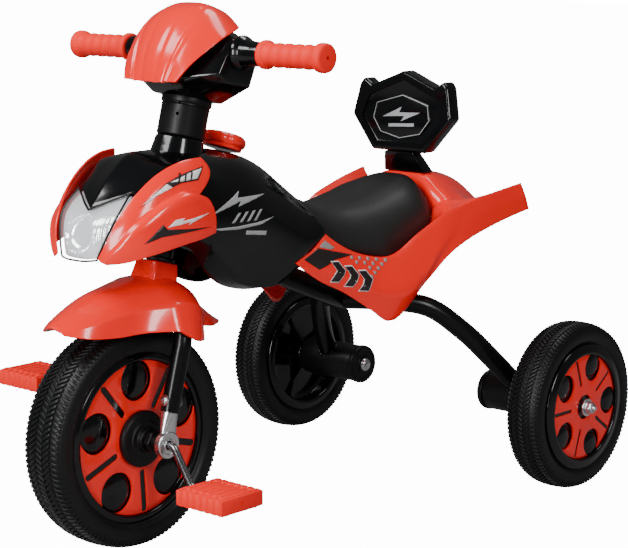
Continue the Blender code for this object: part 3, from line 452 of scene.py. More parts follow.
def plate(outline, low, high, put):
    bm = bmesh.new()
    ends = [[bm.verts.new(put((u, v, h))) for u, v in outline] for h in (low, high)]
    bm.faces.new(ends[0])
    bm.faces.new(ends[1])
    for i in range(len(outline)):
        j = (i + 1) % len(outline)
        bm.faces.new((ends[0][i], ends[0][j], ends[1][j], ends[1][i]))
    return bm


def hullOf(points):
    bm = bmesh.new()
    for p in points:
        bm.verts.new(p)
    made = bmesh.ops.convex_hull(bm, input=bm.verts)
    bmesh.ops.delete(bm, geom=[g for g in made["geom_interior"] if g.is_valid], context="VERTS")
    return bm


def joinInto(target, others):
    bm = bmesh.new()
    for obj in [target, *others]:
        bm.from_mesh(obj.data)
    bm.to_mesh(target.data)
    bm.free()
    for obj in others:
        bpy.data.objects.remove(obj, do_unlink=True)
    target.data.shade_smooth()
    return target


# what repeats: copies of one shape around an axle or along a line
def makeRepeatTree():
    tree = bpy.data.node_groups.new("repeatPiece", "GeometryNodeTree")
    tree.interface.new_socket("Geometry", in_out="OUTPUT", socket_type="NodeSocketGeometry")
    sockets = {}
    for name, kind, value in (("Shape", "NodeSocketObject", None), ("Count", "NodeSocketInt", 5),
                              ("First Turn", "NodeSocketFloat", 0.0), ("Turn Step", "NodeSocketFloat", 0.0),
                              ("Centre", "NodeSocketVector", (0, 0, 0)),
                              ("Shift Step", "NodeSocketVector", (0, 0, 0)),
                              ("Finish", "NodeSocketMaterial", None)):
        socket = tree.interface.new_socket(name, in_out="INPUT", socket_type=kind)
        if value is not None:
            socket.default_value = value
        sockets[name] = socket.identifier
    nodes, links = tree.nodes, tree.links
    start, end = nodes.new("NodeGroupInput"), nodes.new("NodeGroupOutput")
    info = nodes.new("GeometryNodeObjectInfo")
    line = nodes.new("GeometryNodeMeshLine")
    line.mode = "OFFSET"
    index = nodes.new("GeometryNodeInputIndex")
    turn = nodes.new("ShaderNodeMath")
    turn.operation = "MULTIPLY_ADD"
    angles = nodes.new("ShaderNodeCombineXYZ")
    copies = nodes.new("GeometryNodeInstanceOnPoints")
    real = nodes.new("GeometryNodeRealizeInstances")
    paint = nodes.new("GeometryNodeSetMaterial")
    links.new(start.outputs["Shape"], info.inputs["Object"])
    links.new(start.outputs["Count"], line.inputs["Count"])
    links.new(start.outputs["Centre"], line.inputs["Start Location"])
    links.new(start.outputs["Shift Step"], line.inputs["Offset"])
    links.new(index.outputs["Index"], turn.inputs[0])
    links.new(start.outputs["Turn Step"], turn.inputs[1])
    links.new(start.outputs["First Turn"], turn.inputs[2])
    links.new(turn.outputs["Value"], angles.inputs["X"])
    links.new(line.outputs["Mesh"], copies.inputs["Points"])
    links.new(info.outputs["Geometry"], copies.inputs["Instance"])
    links.new(angles.outputs["Vector"], copies.inputs["Rotation"])
    links.new(copies.outputs["Instances"], real.inputs["Geometry"])
    links.new(real.outputs["Geometry"], paint.inputs["Geometry"])
    links.new(start.outputs["Finish"], paint.inputs["Material"])
    links.new(paint.outputs["Geometry"], end.inputs["Geometry"])
    return tree, sockets


repeatTree, repeatSockets = makeRepeatTree()


def repeated(name, bm, mat, count, centre=(0, 0, 0), firstTurn=0.0, turnStep=None, shift=(0, 0, 0), angle=40):
    shape = newPiece(name + "Shape", bm, mat, angle)
    holder = bpy.data.objects.new(name, bpy.data.meshes.new(name))
    bpy.context.collection.objects.link(holder)
    mod = holder.modifiers.new("repeat", "NODES")
    mod.node_group = repeatTree
    for socket, value in (("Shape", shape), ("Count", count), ("First Turn", firstTurn),
                          ("Turn Step", 2 * pi / count if turnStep is None else turnStep),
                          ("Centre", tuple(centre)), ("Shift Step", shift), ("Finish", mat)):
        mod[repeatSockets[socket]] = value
    bake(holder)
    bpy.data.objects.remove(shape, do_unlink=True)
    return sharpen(holder, angle)


print("tools ready")


# tyres
frontTyre = dict(radius=0.128, rim=0.0995, width=0.062, treadDepth=0.0022, treads=124)
rearTyre = dict(radius=0.105, rim=0.0795, width=0.048, treadDepth=0.0019, treads=112)


def tyreProfile(size):  # half section, (radius, across), from the inner lip to the crown
    half, wall = size["width"] / 2, size["radius"] - size["rim"]
    rim, top = size["rim"], size["radius"]
    return [(rim, half * 0.74), (rim + wall * 0.05, half * 0.86), (rim + wall * 0.16, half * 0.95),
            (rim + wall * 0.36, half * 0.995), (rim + wall * 0.56, half * 0.985),
            (rim + wall * 0.74, half * 0.925), (rim + wall * 0.88, half * 0.79),
            (top - wall * 0.045, half * 0.58), (top - wall * 0.010, half * 0.30), (top, 0.0)]


def crownRadius(size, across):
    pts = through([(x, r, 0) for r, x in tyreProfile(size)[::-1]], 8)
    for a, b in zip(pts, pts[1:]):
        if a.x <= abs(across) <= b.x:
            return a.y + (b.y - a.y) * (abs(across) - a.x) / max(b.x - a.x, 1e-9)
    return pts[-1].y


def makeTyre(name, size, place, body, node):
    depth = size["treadDepth"]
    half = size["width"] / 2
    line = through([(r, x, 0) for r, x in tyreProfile(size)], 5)
    profile = []
    for p in line:  # the grooves' floor lies below the tread
        sink = depth * min(max((half * 0.90 - p.y) / (half * 0.06), 0), 1)
        profile.append((p.x - sink, p.y))
    mirrored = [(r, -x) for r, x in profile[:-1]]
    inner = [(size["rim"], half * 0.5), (size["rim"], -half * 0.5)]
    tyre = newPiece(name, lathe(profile + mirrored[::-1] + inner[::-1], 120, True, place), tyreRubber, 50)

    pitch = 2 * pi / size["treads"]
    lugs = [(-0.17, 0.17, 0.42, 0.0), (0.20, 0.52, -0.50, 0.5), (-0.52, -0.20, -0.50, 0.5),
            (0.58, 0.86, 0.22, 0.0), (-0.86, -0.58, 0.22, 0.0)]
    rings = []
    for k, (low, high, slant, shift) in enumerate(lugs):
        bm = bmesh.new()
        layers = []
        for level in range(3):  # foot, shoulder and top of a lug
            trim = (0.0, 0.0002, 0.0006)[level]
            lift = (-depth * 0.3, depth - 0.0005, depth)[level] - depth
            grid = []
            for u in (0.0, 0.5, 1.0):
                x = half * (low + (high - low) * u) + trim * (1 - 2 * u)
                row = []
                for v in (-1, 0, 1):
                    turn = pitch * (0.31 * v + slant * 2 * (u - 0.5)) - v * trim / size["radius"]
                    r = crownRadius(size, x) + lift + (0 if level else -0.0006)
                    row.append(bm.verts.new(place((x, -r * sin(turn), r * cos(turn))) - place((0, 0, 0))))
                grid.append(row)
            layers.append(grid)
        rim = [(0, 0), (0, 1), (0, 2), (1, 2), (2, 2), (2, 1), (2, 0), (1, 0)]
        for a, b in zip(layers, layers[1:]):
            for (i, j), (m, n) in zip(rim, rim[1:] + rim[:1]):
                bm.faces.new((a[i][j], a[m][n], b[m][n], b[i][j]))
        for g in (layers[0], layers[-1]):
            for i in range(2):
                for j in range(2):
                    bm.faces.new((g[i][j], g[i + 1][j], g[i + 1][j + 1], g[i][j + 1]))
        rings.append(repeated(f"{name}Lugs{k}", bm, tyreRubber, size["treads"], place((0, 0, 0)),
                              pitch * shift))
    wall = size["radius"] - size["rim"]
    for k, s in enumerate((1, -1)):  # small lugs on the shoulders
        corners = []
        for share, across in ((0.60, 0.975), (0.72, 0.935), (0.83, 0.860)):
            for turn in (-0.27, 0.27):
                angle = pitch * (turn + 0.6 * (share - 0.7) * s)
                for out in (-0.0008, 0.0009 if share > 0.65 else 0.0003):
                    r, x = size["rim"] + wall * share + out * 0.45, s * (half * across + out * 0.9)
                    corners.append(place((x, -r * sin(angle), r * cos(angle))) - place((0, 0, 0)))
        rings.append(repeated(f"{name}Shoulder{k}", hullOf(corners), tyreRubber, size["treads"],
                              place((0, 0, 0))))
    joinInto(tyre, rings)
    settle(sharpen(tyre, 50), body, "tyre", node)


# wheels
frontWheel = dict(rim=0.0992, disc=0.0887, face=0.0252, windows=5, firstWindow=93.5, windowAt=0.0672,
                  windowR=0.0235, slotFrom=0.0370, slotTo=0.0872, slotHalf=0.0040, hub=0.0225)
rearWheel = dict(rim=0.0792, disc=0.0655, face=0.0245, windows=5, firstWindow=72, windowAt=0.0505,
                 windowR=0.0172, slotFrom=0.0280, slotTo=0.0640, slotHalf=0.0023, hub=0.0150)


def roundWindow(at, radius, count=40):
    return [(at + radius * cos(2 * pi * k / count), radius * sin(2 * pi * k / count)) for k in range(count)]


def longSlot(start, end, half, count=8):
    outline = []
    for middle, first in ((end - half, -pi / 2), (start + half, pi / 2)):
        for k in range(count + 1):
            a = first + pi * k / count
            outline.append((middle + half * cos(a), half * sin(a)))
    return outline


def makeDisc(name, size, place, s, body, node, rounds):
    face, thick = size["face"], 0.003
    dish = 0.0016
    profile = rounded([(size["hub"], face - thick), (size["disc"], face - thick), (size["disc"], face - dish),
                       (size["disc"] * 0.93, face), (size["hub"] * 1.25, face), (size["hub"], face - 0.0004)],
                      0.0008, 3, True)
    disc = turnedPiece(name, profile, redGloss, place, s, 144)
    tool = bmesh.new()
    step = 2 * pi / size["windows"]
    slot = longSlot(size["slotFrom"], size["slotTo"], size["slotHalf"])
    for k in range(size["windows"]):
        middle = radians(size["firstWindow"]) + k * step
        for turn, outline in ((middle, rounds), (middle + step / 2, slot)):
            turned = [(u * cos(turn) - v * sin(turn), u * sin(turn) + v * cos(turn)) for u, v in outline]
            ends = []
            for x in (face - 0.02, face + 0.01):
                ends.append([tool.verts.new(place((s * x, u, v))) for u, v in turned])
            tool.faces.new(ends[0])
            tool.faces.new(ends[1])
            for i in range(len(outline)):
                j = (i + 1) % len(outline)
                tool.faces.new((ends[0][i], ends[0][j], ends[1][j], ends[1][i]))
    carve(disc, newPiece(name + "Tool", tool, redGloss))
    soften(disc, 0.0006, 2, 50)
    bake(disc)
    settle(sharpen(disc, 45), body, "red_gloss", node)


def makeWheelBody(name, size, place, body, node, s, isRear):
    rim, disc, face = size["rim"], size["disc"], size["face"]
    lip = face + 0.0018
    outer = [(rim, face - 0.0018), (rim - 0.0012, face - 0.0002), (disc + 0.0052, lip),
             (disc + 0.0024, lip + 0.0004), (disc + 0.0008, lip - 0.0008), (disc + 0.0006, face - 0.004),
             (disc - 0.002, face - 0.0046), (size["hub"] + 0.008, face - 0.0042),
             (size["hub"] + 0.001, face - 0.0042), (0.0046, face - 0.0042)]
    if isRear:  # the inner face is an open black dish with a hub
        inner = [(0.0046, -0.0255), (0.0165, -0.0255), (0.019, -0.024), (0.021, -0.006),
                 (disc - 0.004, -0.005), (disc + 0.001, -0.008), (disc + 0.0015, -face),
                 (disc + 0.0045, -lip), (rim - 0.0012, -face + 0.0002), (rim, -face + 0.0018)]
    else:
        inner = [(r, -x) for r, x in outer[::-1]]
    wheel = turnedPiece(name, outer + inner, blackGloss, place, s, 144, 0.0009, angle=50)
    parts = []
    hubSpot = place((0, 0, 0))
    windows, first = size["windows"], radians(size["firstWindow"])
    step = 2 * pi / windows
    for flip in [s] if isRear else [1, -1]:
        dome = bmesh.new()
        bulge = size["windowR"] - 0.0006
        rows = []
        middle = size["windowAt"] + (0.004 if isRear else 0)
        for j in range(7):
            tilt = pi / 2 * j / 6
            ring = []
            for i in range(36 if j < 6 else 1):
                a = 2 * pi * i / 36
                stretch = 1.16 if isRear and cos(a) > 0 else 1.0
                u, v = middle + bulge * cos(tilt) * cos(a) * stretch, bulge * cos(tilt) * sin(a)
                x = flip * (face - 0.0052 + 0.0050 * sin(tilt))
                ring.append(dome.verts.new(place((x, u, v)) - hubSpot))
            rows.append(ring)
        for a, b in zip(rows, rows[1:]):
            for i in range(36):
                j = (i + 1) % 36
                dome.faces.new(list(dict.fromkeys((a[i], a[j], b[j % len(b)], b[i % len(b)]))))
        dome.faces.new(rows[0])
        parts.append(repeated(f"{name}Dome{flip}", dome, blackGloss, windows, hubSpot, first, step))
        slot = longSlot(size["slotFrom"] + 0.0004, size["slotTo"], size["slotHalf"] - 0.0004)
        bar = plate(slot, face - 0.006, face - 0.0012,
                    lambda p, f=flip: place((f * p[2], p[0], p[1])) - hubSpot)
        parts.append(repeated(f"{name}Bar{flip}", bar, blackGloss, windows, hubSpot, first + step / 2, step))
    if isRear:  # ribs that run from the hub to the rim on the inner side
        rib = bmesh.new()
        ends = []
        for r, wide, tall in ((0.018, 0.0042, -0.021), (0.040, 0.0030, -0.0085),
                              (disc - 0.002, 0.0085, -0.0125)):
            section = ((-0.004, -wide), (tall, -wide * 0.5), (tall, wide * 0.5), (-0.004, wide))
            ends.append([rib.verts.new(place((s * x, r, v)) - hubSpot) for x, v in section])
        for a, b in zip(ends, ends[1:]):
            for i in range(4):
                rib.faces.new((a[i], a[(i + 1) % 4], b[(i + 1) % 4], b[i]))
        rib.faces.new(ends[0])
        rib.faces.new(ends[-1])
        parts.append(repeated(name + "Rib", rib, blackGloss, windows, hubSpot, first + step / 2, step))
    joinInto(wheel, parts)
    settle(sharpen(wheel, 40), body, "black_satin", node)


def makeFrontWheel():
    makeTyre("frontTyreTread", frontTyre, onFrontAxle, "front_wheel", "front_tyre")
    makeWheelBody("frontWheelBody", frontWheel, onFrontAxle, "front_wheel", "front_rim", 1, False)
    rounds = roundWindow(frontWheel["windowAt"], frontWheel["windowR"])
    for side, s in sides:
        makeDisc("frontDisc_" + side, frontWheel, onFrontAxle, s, "front_wheel", "front_disc_" + side, rounds)
        flange = [(0.0046, 0.0250), (0.0320, 0.0250), (0.0325, 0.0310), (0.0300, 0.0336), (0.0215, 0.0345),
                  (0.0205, 0.0362), (0.0150, 0.0366), (0.0142, 0.0420), (0.0128, 0.0425), (0.0122, 0.0400),
                  (0.0095, 0.0402), (0.0092, 0.0605), (0.0046, 0.0605)]
        hub = turnedPiece("hubFlangeTurned_" + side, flange, blackSatin, onFrontAxle, s, 72, 0.0008, angle=50)
        hexagon = [(0.0093, 0.0435), (0.0128, 0.0435), (0.0135, 0.0445), (0.0135, 0.0515), (0.0126, 0.0525),
                   (0.0093, 0.0525)]
        nut = turnedPiece("hubNut", hexagon, blackSatin, onFrontAxle, s, 6)
        soften(nut, 0.0006, 2, 30)
        bake(nut)
        joinInto(hub, [nut])
        settle(sharpen(hub, 40), "front_wheel", "black_satin", "hub_flange_" + side)


def makeRearWheels():
    for side, s in sides:
        def place(p, s=s):
            return onRearAxle((p[0] + s * rearTrack / 2, p[1], p[2]))
        body = "rear_wheel_" + side
        makeTyre("rearTyreTread_" + side, rearTyre, place, body, "rear_tyre_" + side)
        makeWheelBody("rearWheelBody_" + side, rearWheel, place, body, "rear_rim_" + side, s, True)
        rounds = roundWindow(rearWheel["windowAt"], rearWheel["windowR"])
        makeDisc("rearDisc_" + side, rearWheel, place, s, body, "rear_disc_" + side, rounds)


makeFrontWheel()
makeRearWheels()
print("wheels made")


# body shells: half rows from the middle plane out, (x, y, z) from the body's spot
def makeTank():
    rows = [
        [(0, -0.0455, 0.1365), (0.014, -0.0385, 0.1425), (0.028, -0.0300, 0.149), (0.043, -0.0200, 0.1535),
         (0.050, -0.012, 0.138), (0.052, -0.006, 0.120), (0.050, 0.000, 0.108), (0.036, 0.000, 0.106)],
        [(0, -0.014, 0.1712), (0.020, -0.010, 0.169), (0.040, -0.004, 0.169), (0.056, 0.002, 0.167),
         (0.060, 0.010, 0.138), (0.061, 0.014, 0.120), (0.057, 0.018, 0.106), (0.040, 0.018, 0.102)],
        [(0, 0.012, 0.1905), (0.022, 0.014, 0.186), (0.042, 0.017, 0.183), (0.059, 0.021, 0.179),
         (0.064, 0.030, 0.145), (0.067, 0.034, 0.122), (0.064, 0.038, 0.102), (0.044, 0.038, 0.095)],
        [(0, 0.055, 0.191), (0.026, 0.055, 0.189), (0.049, 0.055, 0.181), (0.065, 0.053, 0.174),
         (0.072, 0.056, 0.142), (0.075, 0.060, 0.115), (0.072, 0.064, 0.092), (0.048, 0.058, 0.084)],
        [(0, 0.100, 0.190), (0.028, 0.100, 0.187), (0.053, 0.100, 0.176), (0.070, 0.100, 0.155),
         (0.077, 0.100, 0.122), (0.075, 0.098, 0.090), (0.064, 0.097, 0.064), (0.042, 0.088, 0.052)],
        [(0, 0.145, 0.185), (0.028, 0.145, 0.182), (0.052, 0.145, 0.169), (0.069, 0.145, 0.145),
         (0.075, 0.143, 0.110), (0.070, 0.140, 0.070), (0.053, 0.136, 0.034), (0.034, 0.126, 0.030)],
        [(0, 0.190, 0.169), (0.025, 0.190, 0.166), (0.047, 0.190, 0.153), (0.063, 0.190, 0.130),
         (0.070, 0.190, 0.100), (0.069, 0.188, 0.064), (0.062, 0.186, 0.027), (0.040, 0.178, 0.023)],
        [(0, 0.218, 0.150), (0.022, 0.218, 0.147), (0.043, 0.220, 0.136), (0.058, 0.222, 0.118),
         (0.066, 0.222, 0.098), (0.069, 0.222, 0.068), (0.066, 0.219, 0.043), (0.044, 0.214, 0.040)],
        [(0, 0.236, 0.136), (0.020, 0.238, 0.133), (0.038, 0.243, 0.123), (0.052, 0.250, 0.108),
         (0.060, 0.258, 0.096), (0.066, 0.266, 0.082), (0.066, 0.262, 0.070), (0.046, 0.256, 0.068)],
    ]
    tank = moulded("tankShell", [bothSides(r) for r in rows], onBody, (0, 0.1, 1.0), 0.0026, blackGloss,
                   onBothSides(rows[0], 0, 6), across=6, along=7, ridge=3)
    bored(tank, 0.0325, 0.27, 0.40, aboutSteering, 64)
    return settle(sharpen(tank, 50), "frame", "black_gloss", "tank_shell")


def makeSideFairing(side, s):  # two lobes with a fold between them; the third point of a row lies in the fold
    rows = [[(0.034, -0.066, 0.086), (0.035, -0.066, 0.0845), (0.0365, -0.066, 0.083),
             (0.038, -0.0655, 0.082), (0.041, -0.064, 0.0805), (0.043, -0.062, 0.079)],
            [(0.0435, -0.060, 0.107), (0.048, -0.0585, 0.103), (0.0515, -0.057, 0.1000),
             (0.0555, -0.0565, 0.0975), (0.0595, -0.053, 0.091), (0.062, -0.048, 0.082)],
            [(0.0500, -0.0455, 0.135), (0.0580, -0.045, 0.1275), (0.0630, -0.044, 0.120),
             (0.0685, -0.0435, 0.1175), (0.0740, -0.038, 0.106), (0.076, -0.032, 0.088)],
            [(0.0565, -0.028, 0.1555), (0.0655, -0.0265, 0.1460), (0.0705, -0.024, 0.136),
             (0.0770, -0.0235, 0.1335), (0.0830, -0.016, 0.118), (0.084, -0.010, 0.093)],
            [(0.0620, -0.003, 0.1745), (0.0710, -0.0005, 0.1650), (0.0765, 0.002, 0.1505),
             (0.0830, 0.003, 0.1485), (0.0890, 0.008, 0.130), (0.089, 0.014, 0.098)],
            [(0.0675, 0.026, 0.1860), (0.0755, 0.030, 0.1760), (0.0805, 0.026, 0.1545),
             (0.0870, 0.0275, 0.1530), (0.0915, 0.034, 0.136), (0.092, 0.038, 0.102)],
            [(0.0715, 0.0545, 0.1890), (0.0790, 0.0600, 0.1770), (0.0840, 0.0390, 0.1490),
             (0.0895, 0.0430, 0.1480), (0.0920, 0.0555, 0.131), (0.092, 0.057, 0.1065)]]
    rows = [[(s * x, y, z) for x, y, z in row] for row in rows]
    fairing = moulded("sideFairing_" + side, rows, onBody, (s * 1.0, 0, 0.4), 0.0022, redGloss, (2,),
                      across=7, along=8)
    return settle(fairing, "frame", "red_gloss", "side_fairing_" + side)


def makeSeat():
    rows = [
        [(0, 0.2405, 0.132), (0.020, 0.2425, 0.129), (0.036, 0.247, 0.119), (0.049, 0.254, 0.105),
         (0.057, 0.262, 0.092), (0.060, 0.268, 0.080)],
        [(0, 0.270, 0.118), (0.022, 0.270, 0.115), (0.040, 0.272, 0.106), (0.053, 0.276, 0.092),
         (0.060, 0.280, 0.078), (0.061, 0.282, 0.067)],
        [(0, 0.310, 0.104), (0.025, 0.310, 0.103), (0.047, 0.310, 0.096), (0.062, 0.312, 0.080),
         (0.068, 0.315, 0.062), (0.068, 0.318, 0.051)],
        [(0, 0.355, 0.103), (0.030, 0.355, 0.103), (0.056, 0.357, 0.096), (0.073, 0.360, 0.075),
         (0.080, 0.362, 0.052), (0.080, 0.364, 0.041)],
        [(0, 0.400, 0.110), (0.032, 0.400, 0.110), (0.058, 0.402, 0.103), (0.074, 0.408, 0.085),
         (0.079, 0.413, 0.066), (0.079, 0.416, 0.056)],
        [(0, 0.440, 0.121), (0.030, 0.440, 0.120), (0.052, 0.441, 0.114), (0.066, 0.447, 0.100),
         (0.072, 0.452, 0.087), (0.073, 0.456, 0.078)],
        [(0, 0.474, 0.127), (0.022, 0.473, 0.125), (0.038, 0.471, 0.117), (0.048, 0.470, 0.108),
         (0.058, 0.468, 0.099), (0.061, 0.468, 0.091)],
        [(0, 0.487, 0.116), (0.022, 0.484, 0.113), (0.036, 0.479, 0.106), (0.045, 0.474, 0.098),
         (0.050, 0.471, 0.092), (0.052, 0.469, 0.088)],
    ]
    seat = moulded("seatSaddle", [bothSides(r) for r in rows], onBody, (0, 0.35, 2.0), 0.0028, seatBlack,
                   across=7, along=7, rim=0.0009, edgeSeams=(3, 6))
    return settle(seat, "frame", "seat_black", "seat")


def makeRearBody():
    rows = [
        [(0, 0.275, 0.088), (0.030, 0.272, 0.080), (0.052, 0.270, 0.070), (0.0645, 0.269, 0.078),
         (0.067, 0.266, 0.078), (0.071, 0.238, 0.062), (0.069, 0.212, 0.050)],
        [(0, 0.300, 0.080), (0.034, 0.298, 0.072), (0.055, 0.292, 0.056), (0.066, 0.290, 0.062),
         (0.074, 0.288, 0.062), (0.080, 0.262, 0.040), (0.074, 0.245, 0.026)],
        [(0, 0.330, 0.074), (0.038, 0.330, 0.066), (0.062, 0.325, 0.042), (0.073, 0.322, 0.048),
         (0.081, 0.318, 0.049), (0.088, 0.297, 0.020), (0.080, 0.285, 0.006)],
        [(0, 0.365, 0.072), (0.045, 0.365, 0.062), (0.073, 0.366, 0.031), (0.0845, 0.362, 0.039),
         (0.091, 0.354, 0.044), (0.098, 0.335, 0.000), (0.088, 0.322, -0.018)],
        [(0, 0.400, 0.080), (0.045, 0.402, 0.074), (0.072, 0.412, 0.044), (0.0835, 0.413, 0.056),
         (0.103, 0.398, 0.070), (0.109, 0.372, -0.003), (0.095, 0.348, -0.036)],
        [(0, 0.440, 0.092), (0.042, 0.442, 0.086), (0.066, 0.450, 0.060), (0.0775, 0.456, 0.079),
         (0.114, 0.443, 0.093), (0.117, 0.424, 0.045), (0.110, 0.405, 0.008)],
        [(0, 0.484, 0.094), (0.030, 0.480, 0.086), (0.050, 0.470, 0.072), (0.0665, 0.470, 0.090),
         (0.1185, 0.463, 0.098), (0.120, 0.455, 0.070), (0.120, 0.440, 0.040)],
        [(0, 0.4925, 0.127), (0.030, 0.4895, 0.125), (0.057, 0.482, 0.112), (0.078, 0.478, 0.098),
         (0.122, 0.485, 0.103), (0.124, 0.478, 0.080), (0.125, 0.470, 0.055)],
        [(0, 0.535, 0.126), (0.030, 0.530, 0.123), (0.056, 0.516, 0.110), (0.082, 0.510, 0.094),
         (0.126, 0.512, 0.109), (0.128, 0.506, 0.088), (0.129, 0.500, 0.065)],
        [(0, 0.570, 0.117), (0.028, 0.565, 0.112), (0.053, 0.550, 0.097), (0.086, 0.528, 0.090),
         (0.130, 0.541, 0.114), (0.132, 0.538, 0.094), (0.133, 0.534, 0.074)],
        [(0, 0.604, 0.094), (0.027, 0.600, 0.090), (0.050, 0.582, 0.082), (0.086, 0.540, 0.086),
         (0.1335, 0.565, 0.118), (0.137, 0.571, 0.100), (0.138, 0.577, 0.083)],
    ]
    tail = moulded("rearBody", [bothSides(r) for r in rows], onBody, (0, 0.4, 2.0), 0.0026, redGloss,
                   onBothSides(rows[0], 3, 4, 5), across=6, along=6)
    return settle(tail, "frame", "red_gloss", "rear_body")


def makeHeadlight():
    rows = [
        [(0, -0.070, 0.081), (0.012, -0.069, 0.081), (0.022, -0.067, 0.082), (0.029, -0.063, 0.083)],
        [(0, -0.071, 0.100), (0.015, -0.070, 0.100), (0.028, -0.065, 0.102), (0.037, -0.058, 0.104)],
        [(0, -0.064, 0.120), (0.017, -0.063, 0.121), (0.033, -0.057, 0.124), (0.044, -0.049, 0.126)],
        [(0, -0.048, 0.134), (0.013, -0.042, 0.1400), (0.028, -0.033, 0.147), (0.0415, -0.0245, 0.1525)],
    ]
    full = [bothSides(r) for r in rows]
    grid = smoothGrid(full, 14, 14)
    top = [through(full[3], 14, (3,)), grid[-1]]
    fixed = []  # the upper edge dips to a sharp notch in the middle
    for i, row in enumerate(grid):
        share = max(0, (i / (len(grid) - 1) - 0.66) / 0.34)
        fixed.append([p + (a - b) * share for p, a, b in zip(row, *top)])
    lens = moulded("headlightLens", fixed, onBody, (0, -1.0, 0.3), 0.0018, clearLens, across=1, along=1)
    settle(lens, "frame", "clear_lens", "headlight_lens")
    bowlRows = []
    for row in fixed:
        line = []
        for p in row:
            u, v = p.x / 0.0235, (p.z - 0.109) / 0.0215
            dish = max(0.0, 1 - u * u - v * v) ** 0.5
            ripple = 0.0005 * cos(2 * pi * p.x / 0.0042) * min(max(abs(u) + max(v, 0) * 0.5 - 1.0, 0) * 4, 1)
            line.append((p.x * 0.955, p.y + 0.0045 + 0.0135 * dish + ripple, 0.115 + (p.z - 0.1155) * 0.94))
        bowlRows.append(line)
    bowl = moulded("headlightBowl", bowlRows, onBody, (0, -1.0, 0.3), 0.0012, mirrorBowlPaintedGlow, across=1, along=1,
                   rim=0)
    settle(bowl, "frame", "silver_reflector", "headlight_reflector")
    loop = [*fixed[0], *[row[-1] for row in fixed[1:-1]], *fixed[-1][::-1],
            *[row[0] for row in fixed[-2:0:-1]]]
    seal = newPiece("headlightSeal", sweep([onBody(p) for p in [*loop, loop[0], loop[1]]], 0.0012, 8),
                    blackSatin)
    settle(seal, "frame", "black_satin")


tankShell = makeTank()
fairings = {side: makeSideFairing(side, s) for side, s in sides}
makeSeat()
rearBody = makeRearBody()
makeHeadlight()
print("body shells made")


# frame tubes and rear axle
def bossRing(name, outer, bore, low, high, mat, put, radius=0.0006, count=48):
    profile = [(bore, low), (outer, low), (outer, high), (bore, high)]
    return turnedPiece(name, profile, mat, put, 1, count, radius, 2, angle=50)


def makeFrame():
    h = headHeights
    head = bossRing("headTube", 0.0170, 0.0131, h["headBase"], h["headTop"], paintBlack, aboutSteering)
    settle(head, "frame", "black_paint", "head_tube")
    for node, low in (("lower_head_bearing", h["headBase"] - 0.0045),
                      ("upper_head_bearing", h["headTop"] + 0.0003)):
        ring = bossRing(node + "Ring", 0.0200, 0.0131, low, low + 0.0042, blackSatin, aboutSteering, 0.0010)
        settle(ring, "frame", "black_satin", node)

    spot = h["headBase"] + 0.033
    top, end = Vector((0, spot * sin(rake), spot * cos(rake) - frontAxle.z)), Vector((0, 0.372, -0.022))
    along = (end - top).normalized()
    ends = [top, *[top.lerp(end, k / 6) for k in range(1, 6)], end - along * 0.0015, end - along * 0.0004,
            end]
    tube = newPiece("mainTube", sweep([onBody(p) for p in ends], [0.0140] * 7 + [0.0136, 0.0120], 40),
                    paintBlack)
    bored(tube, 0.0173, 0.19, 0.31, aboutSteering)
    settle(sharpen(tube, 40), "frame", "black_paint", "main_tube")
    for side, s in sides:
        makeRearArm(side, s, end, along)
        makeRearBush(side, s)


rearEnd = dict(bushInner=0.106, bushOuter=rearTrack / 2 - 0.029, bushR=0.025, armX=rearTrack / 2 - 0.067,
               armR=0.0125, boltTip=rearTrack / 2 + 0.040, washer=rearTrack / 2 + 0.0265, bore=0.0043)


def makeRearArm(side, s, tubeEnd, along):
    armX, armR, bushR = rearEnd["armX"], rearEnd["armR"], rearEnd["bushR"]
    end = Vector((armX, rearAxle.y - frontAxle.y, rearAxle.z - 2 * frontAxle.z))
    start = tubeEnd + Vector((0.012, -0.012, 0.002))
    knee = Vector((0.092, 0.430, -0.030))
    route = [start, start.lerp(knee, 0.5) + Vector((0.002, 0, 0.003)), knee,
             knee.lerp(end, 0.34) + Vector((0.002, -0.005, 0.012)),
             knee.lerp(end, 0.66) + Vector((0.004, -0.004, 0.008)), end]
    path = [onBody((s * p.x, p.y, p.z)) for p in through(route, 9)]
    arm = newPiece("rearArm_" + side, sweep(path, armR, 32), paintBlack)
    carve(arm, rod("armCore", onBody(tubeEnd - along * 0.1), onBody(tubeEnd + along * 0.0003), 0.0143,
                   paintBlack, 32))
    bored(arm, bushR + 0.0003, s * (armX - 0.05), s * (armX + 0.05), onRearAxle)
    reach = (path[-1] - path[-4]).normalized()
    up = Vector((1, 0, 0)).cross(reach).normalized()
    bead = []
    for k in range(49):  # the weld round the arm's end, on the bush
        a = 2 * pi * k / 48
        rise = (armR + 0.0003) * sin(a)
        height = ((bushR + 0.0001) ** 2 - rise ** 2) ** 0.5
        bead.append(onRearAxle(Vector((s * armX + (armR + 0.0003) * cos(a), 0, 0))
                               + up * rise - reach * height))
    radii = [0.0017 + 0.0004 * cos(12 * 2 * pi * k / 48) for k in range(49)]
    joinInto(arm, [newPiece("armWeld", sweep(bead, radii, 8), paintBlack)])
    settle(sharpen(arm, 45), "frame", "black_paint", "rear_arm_" + side)


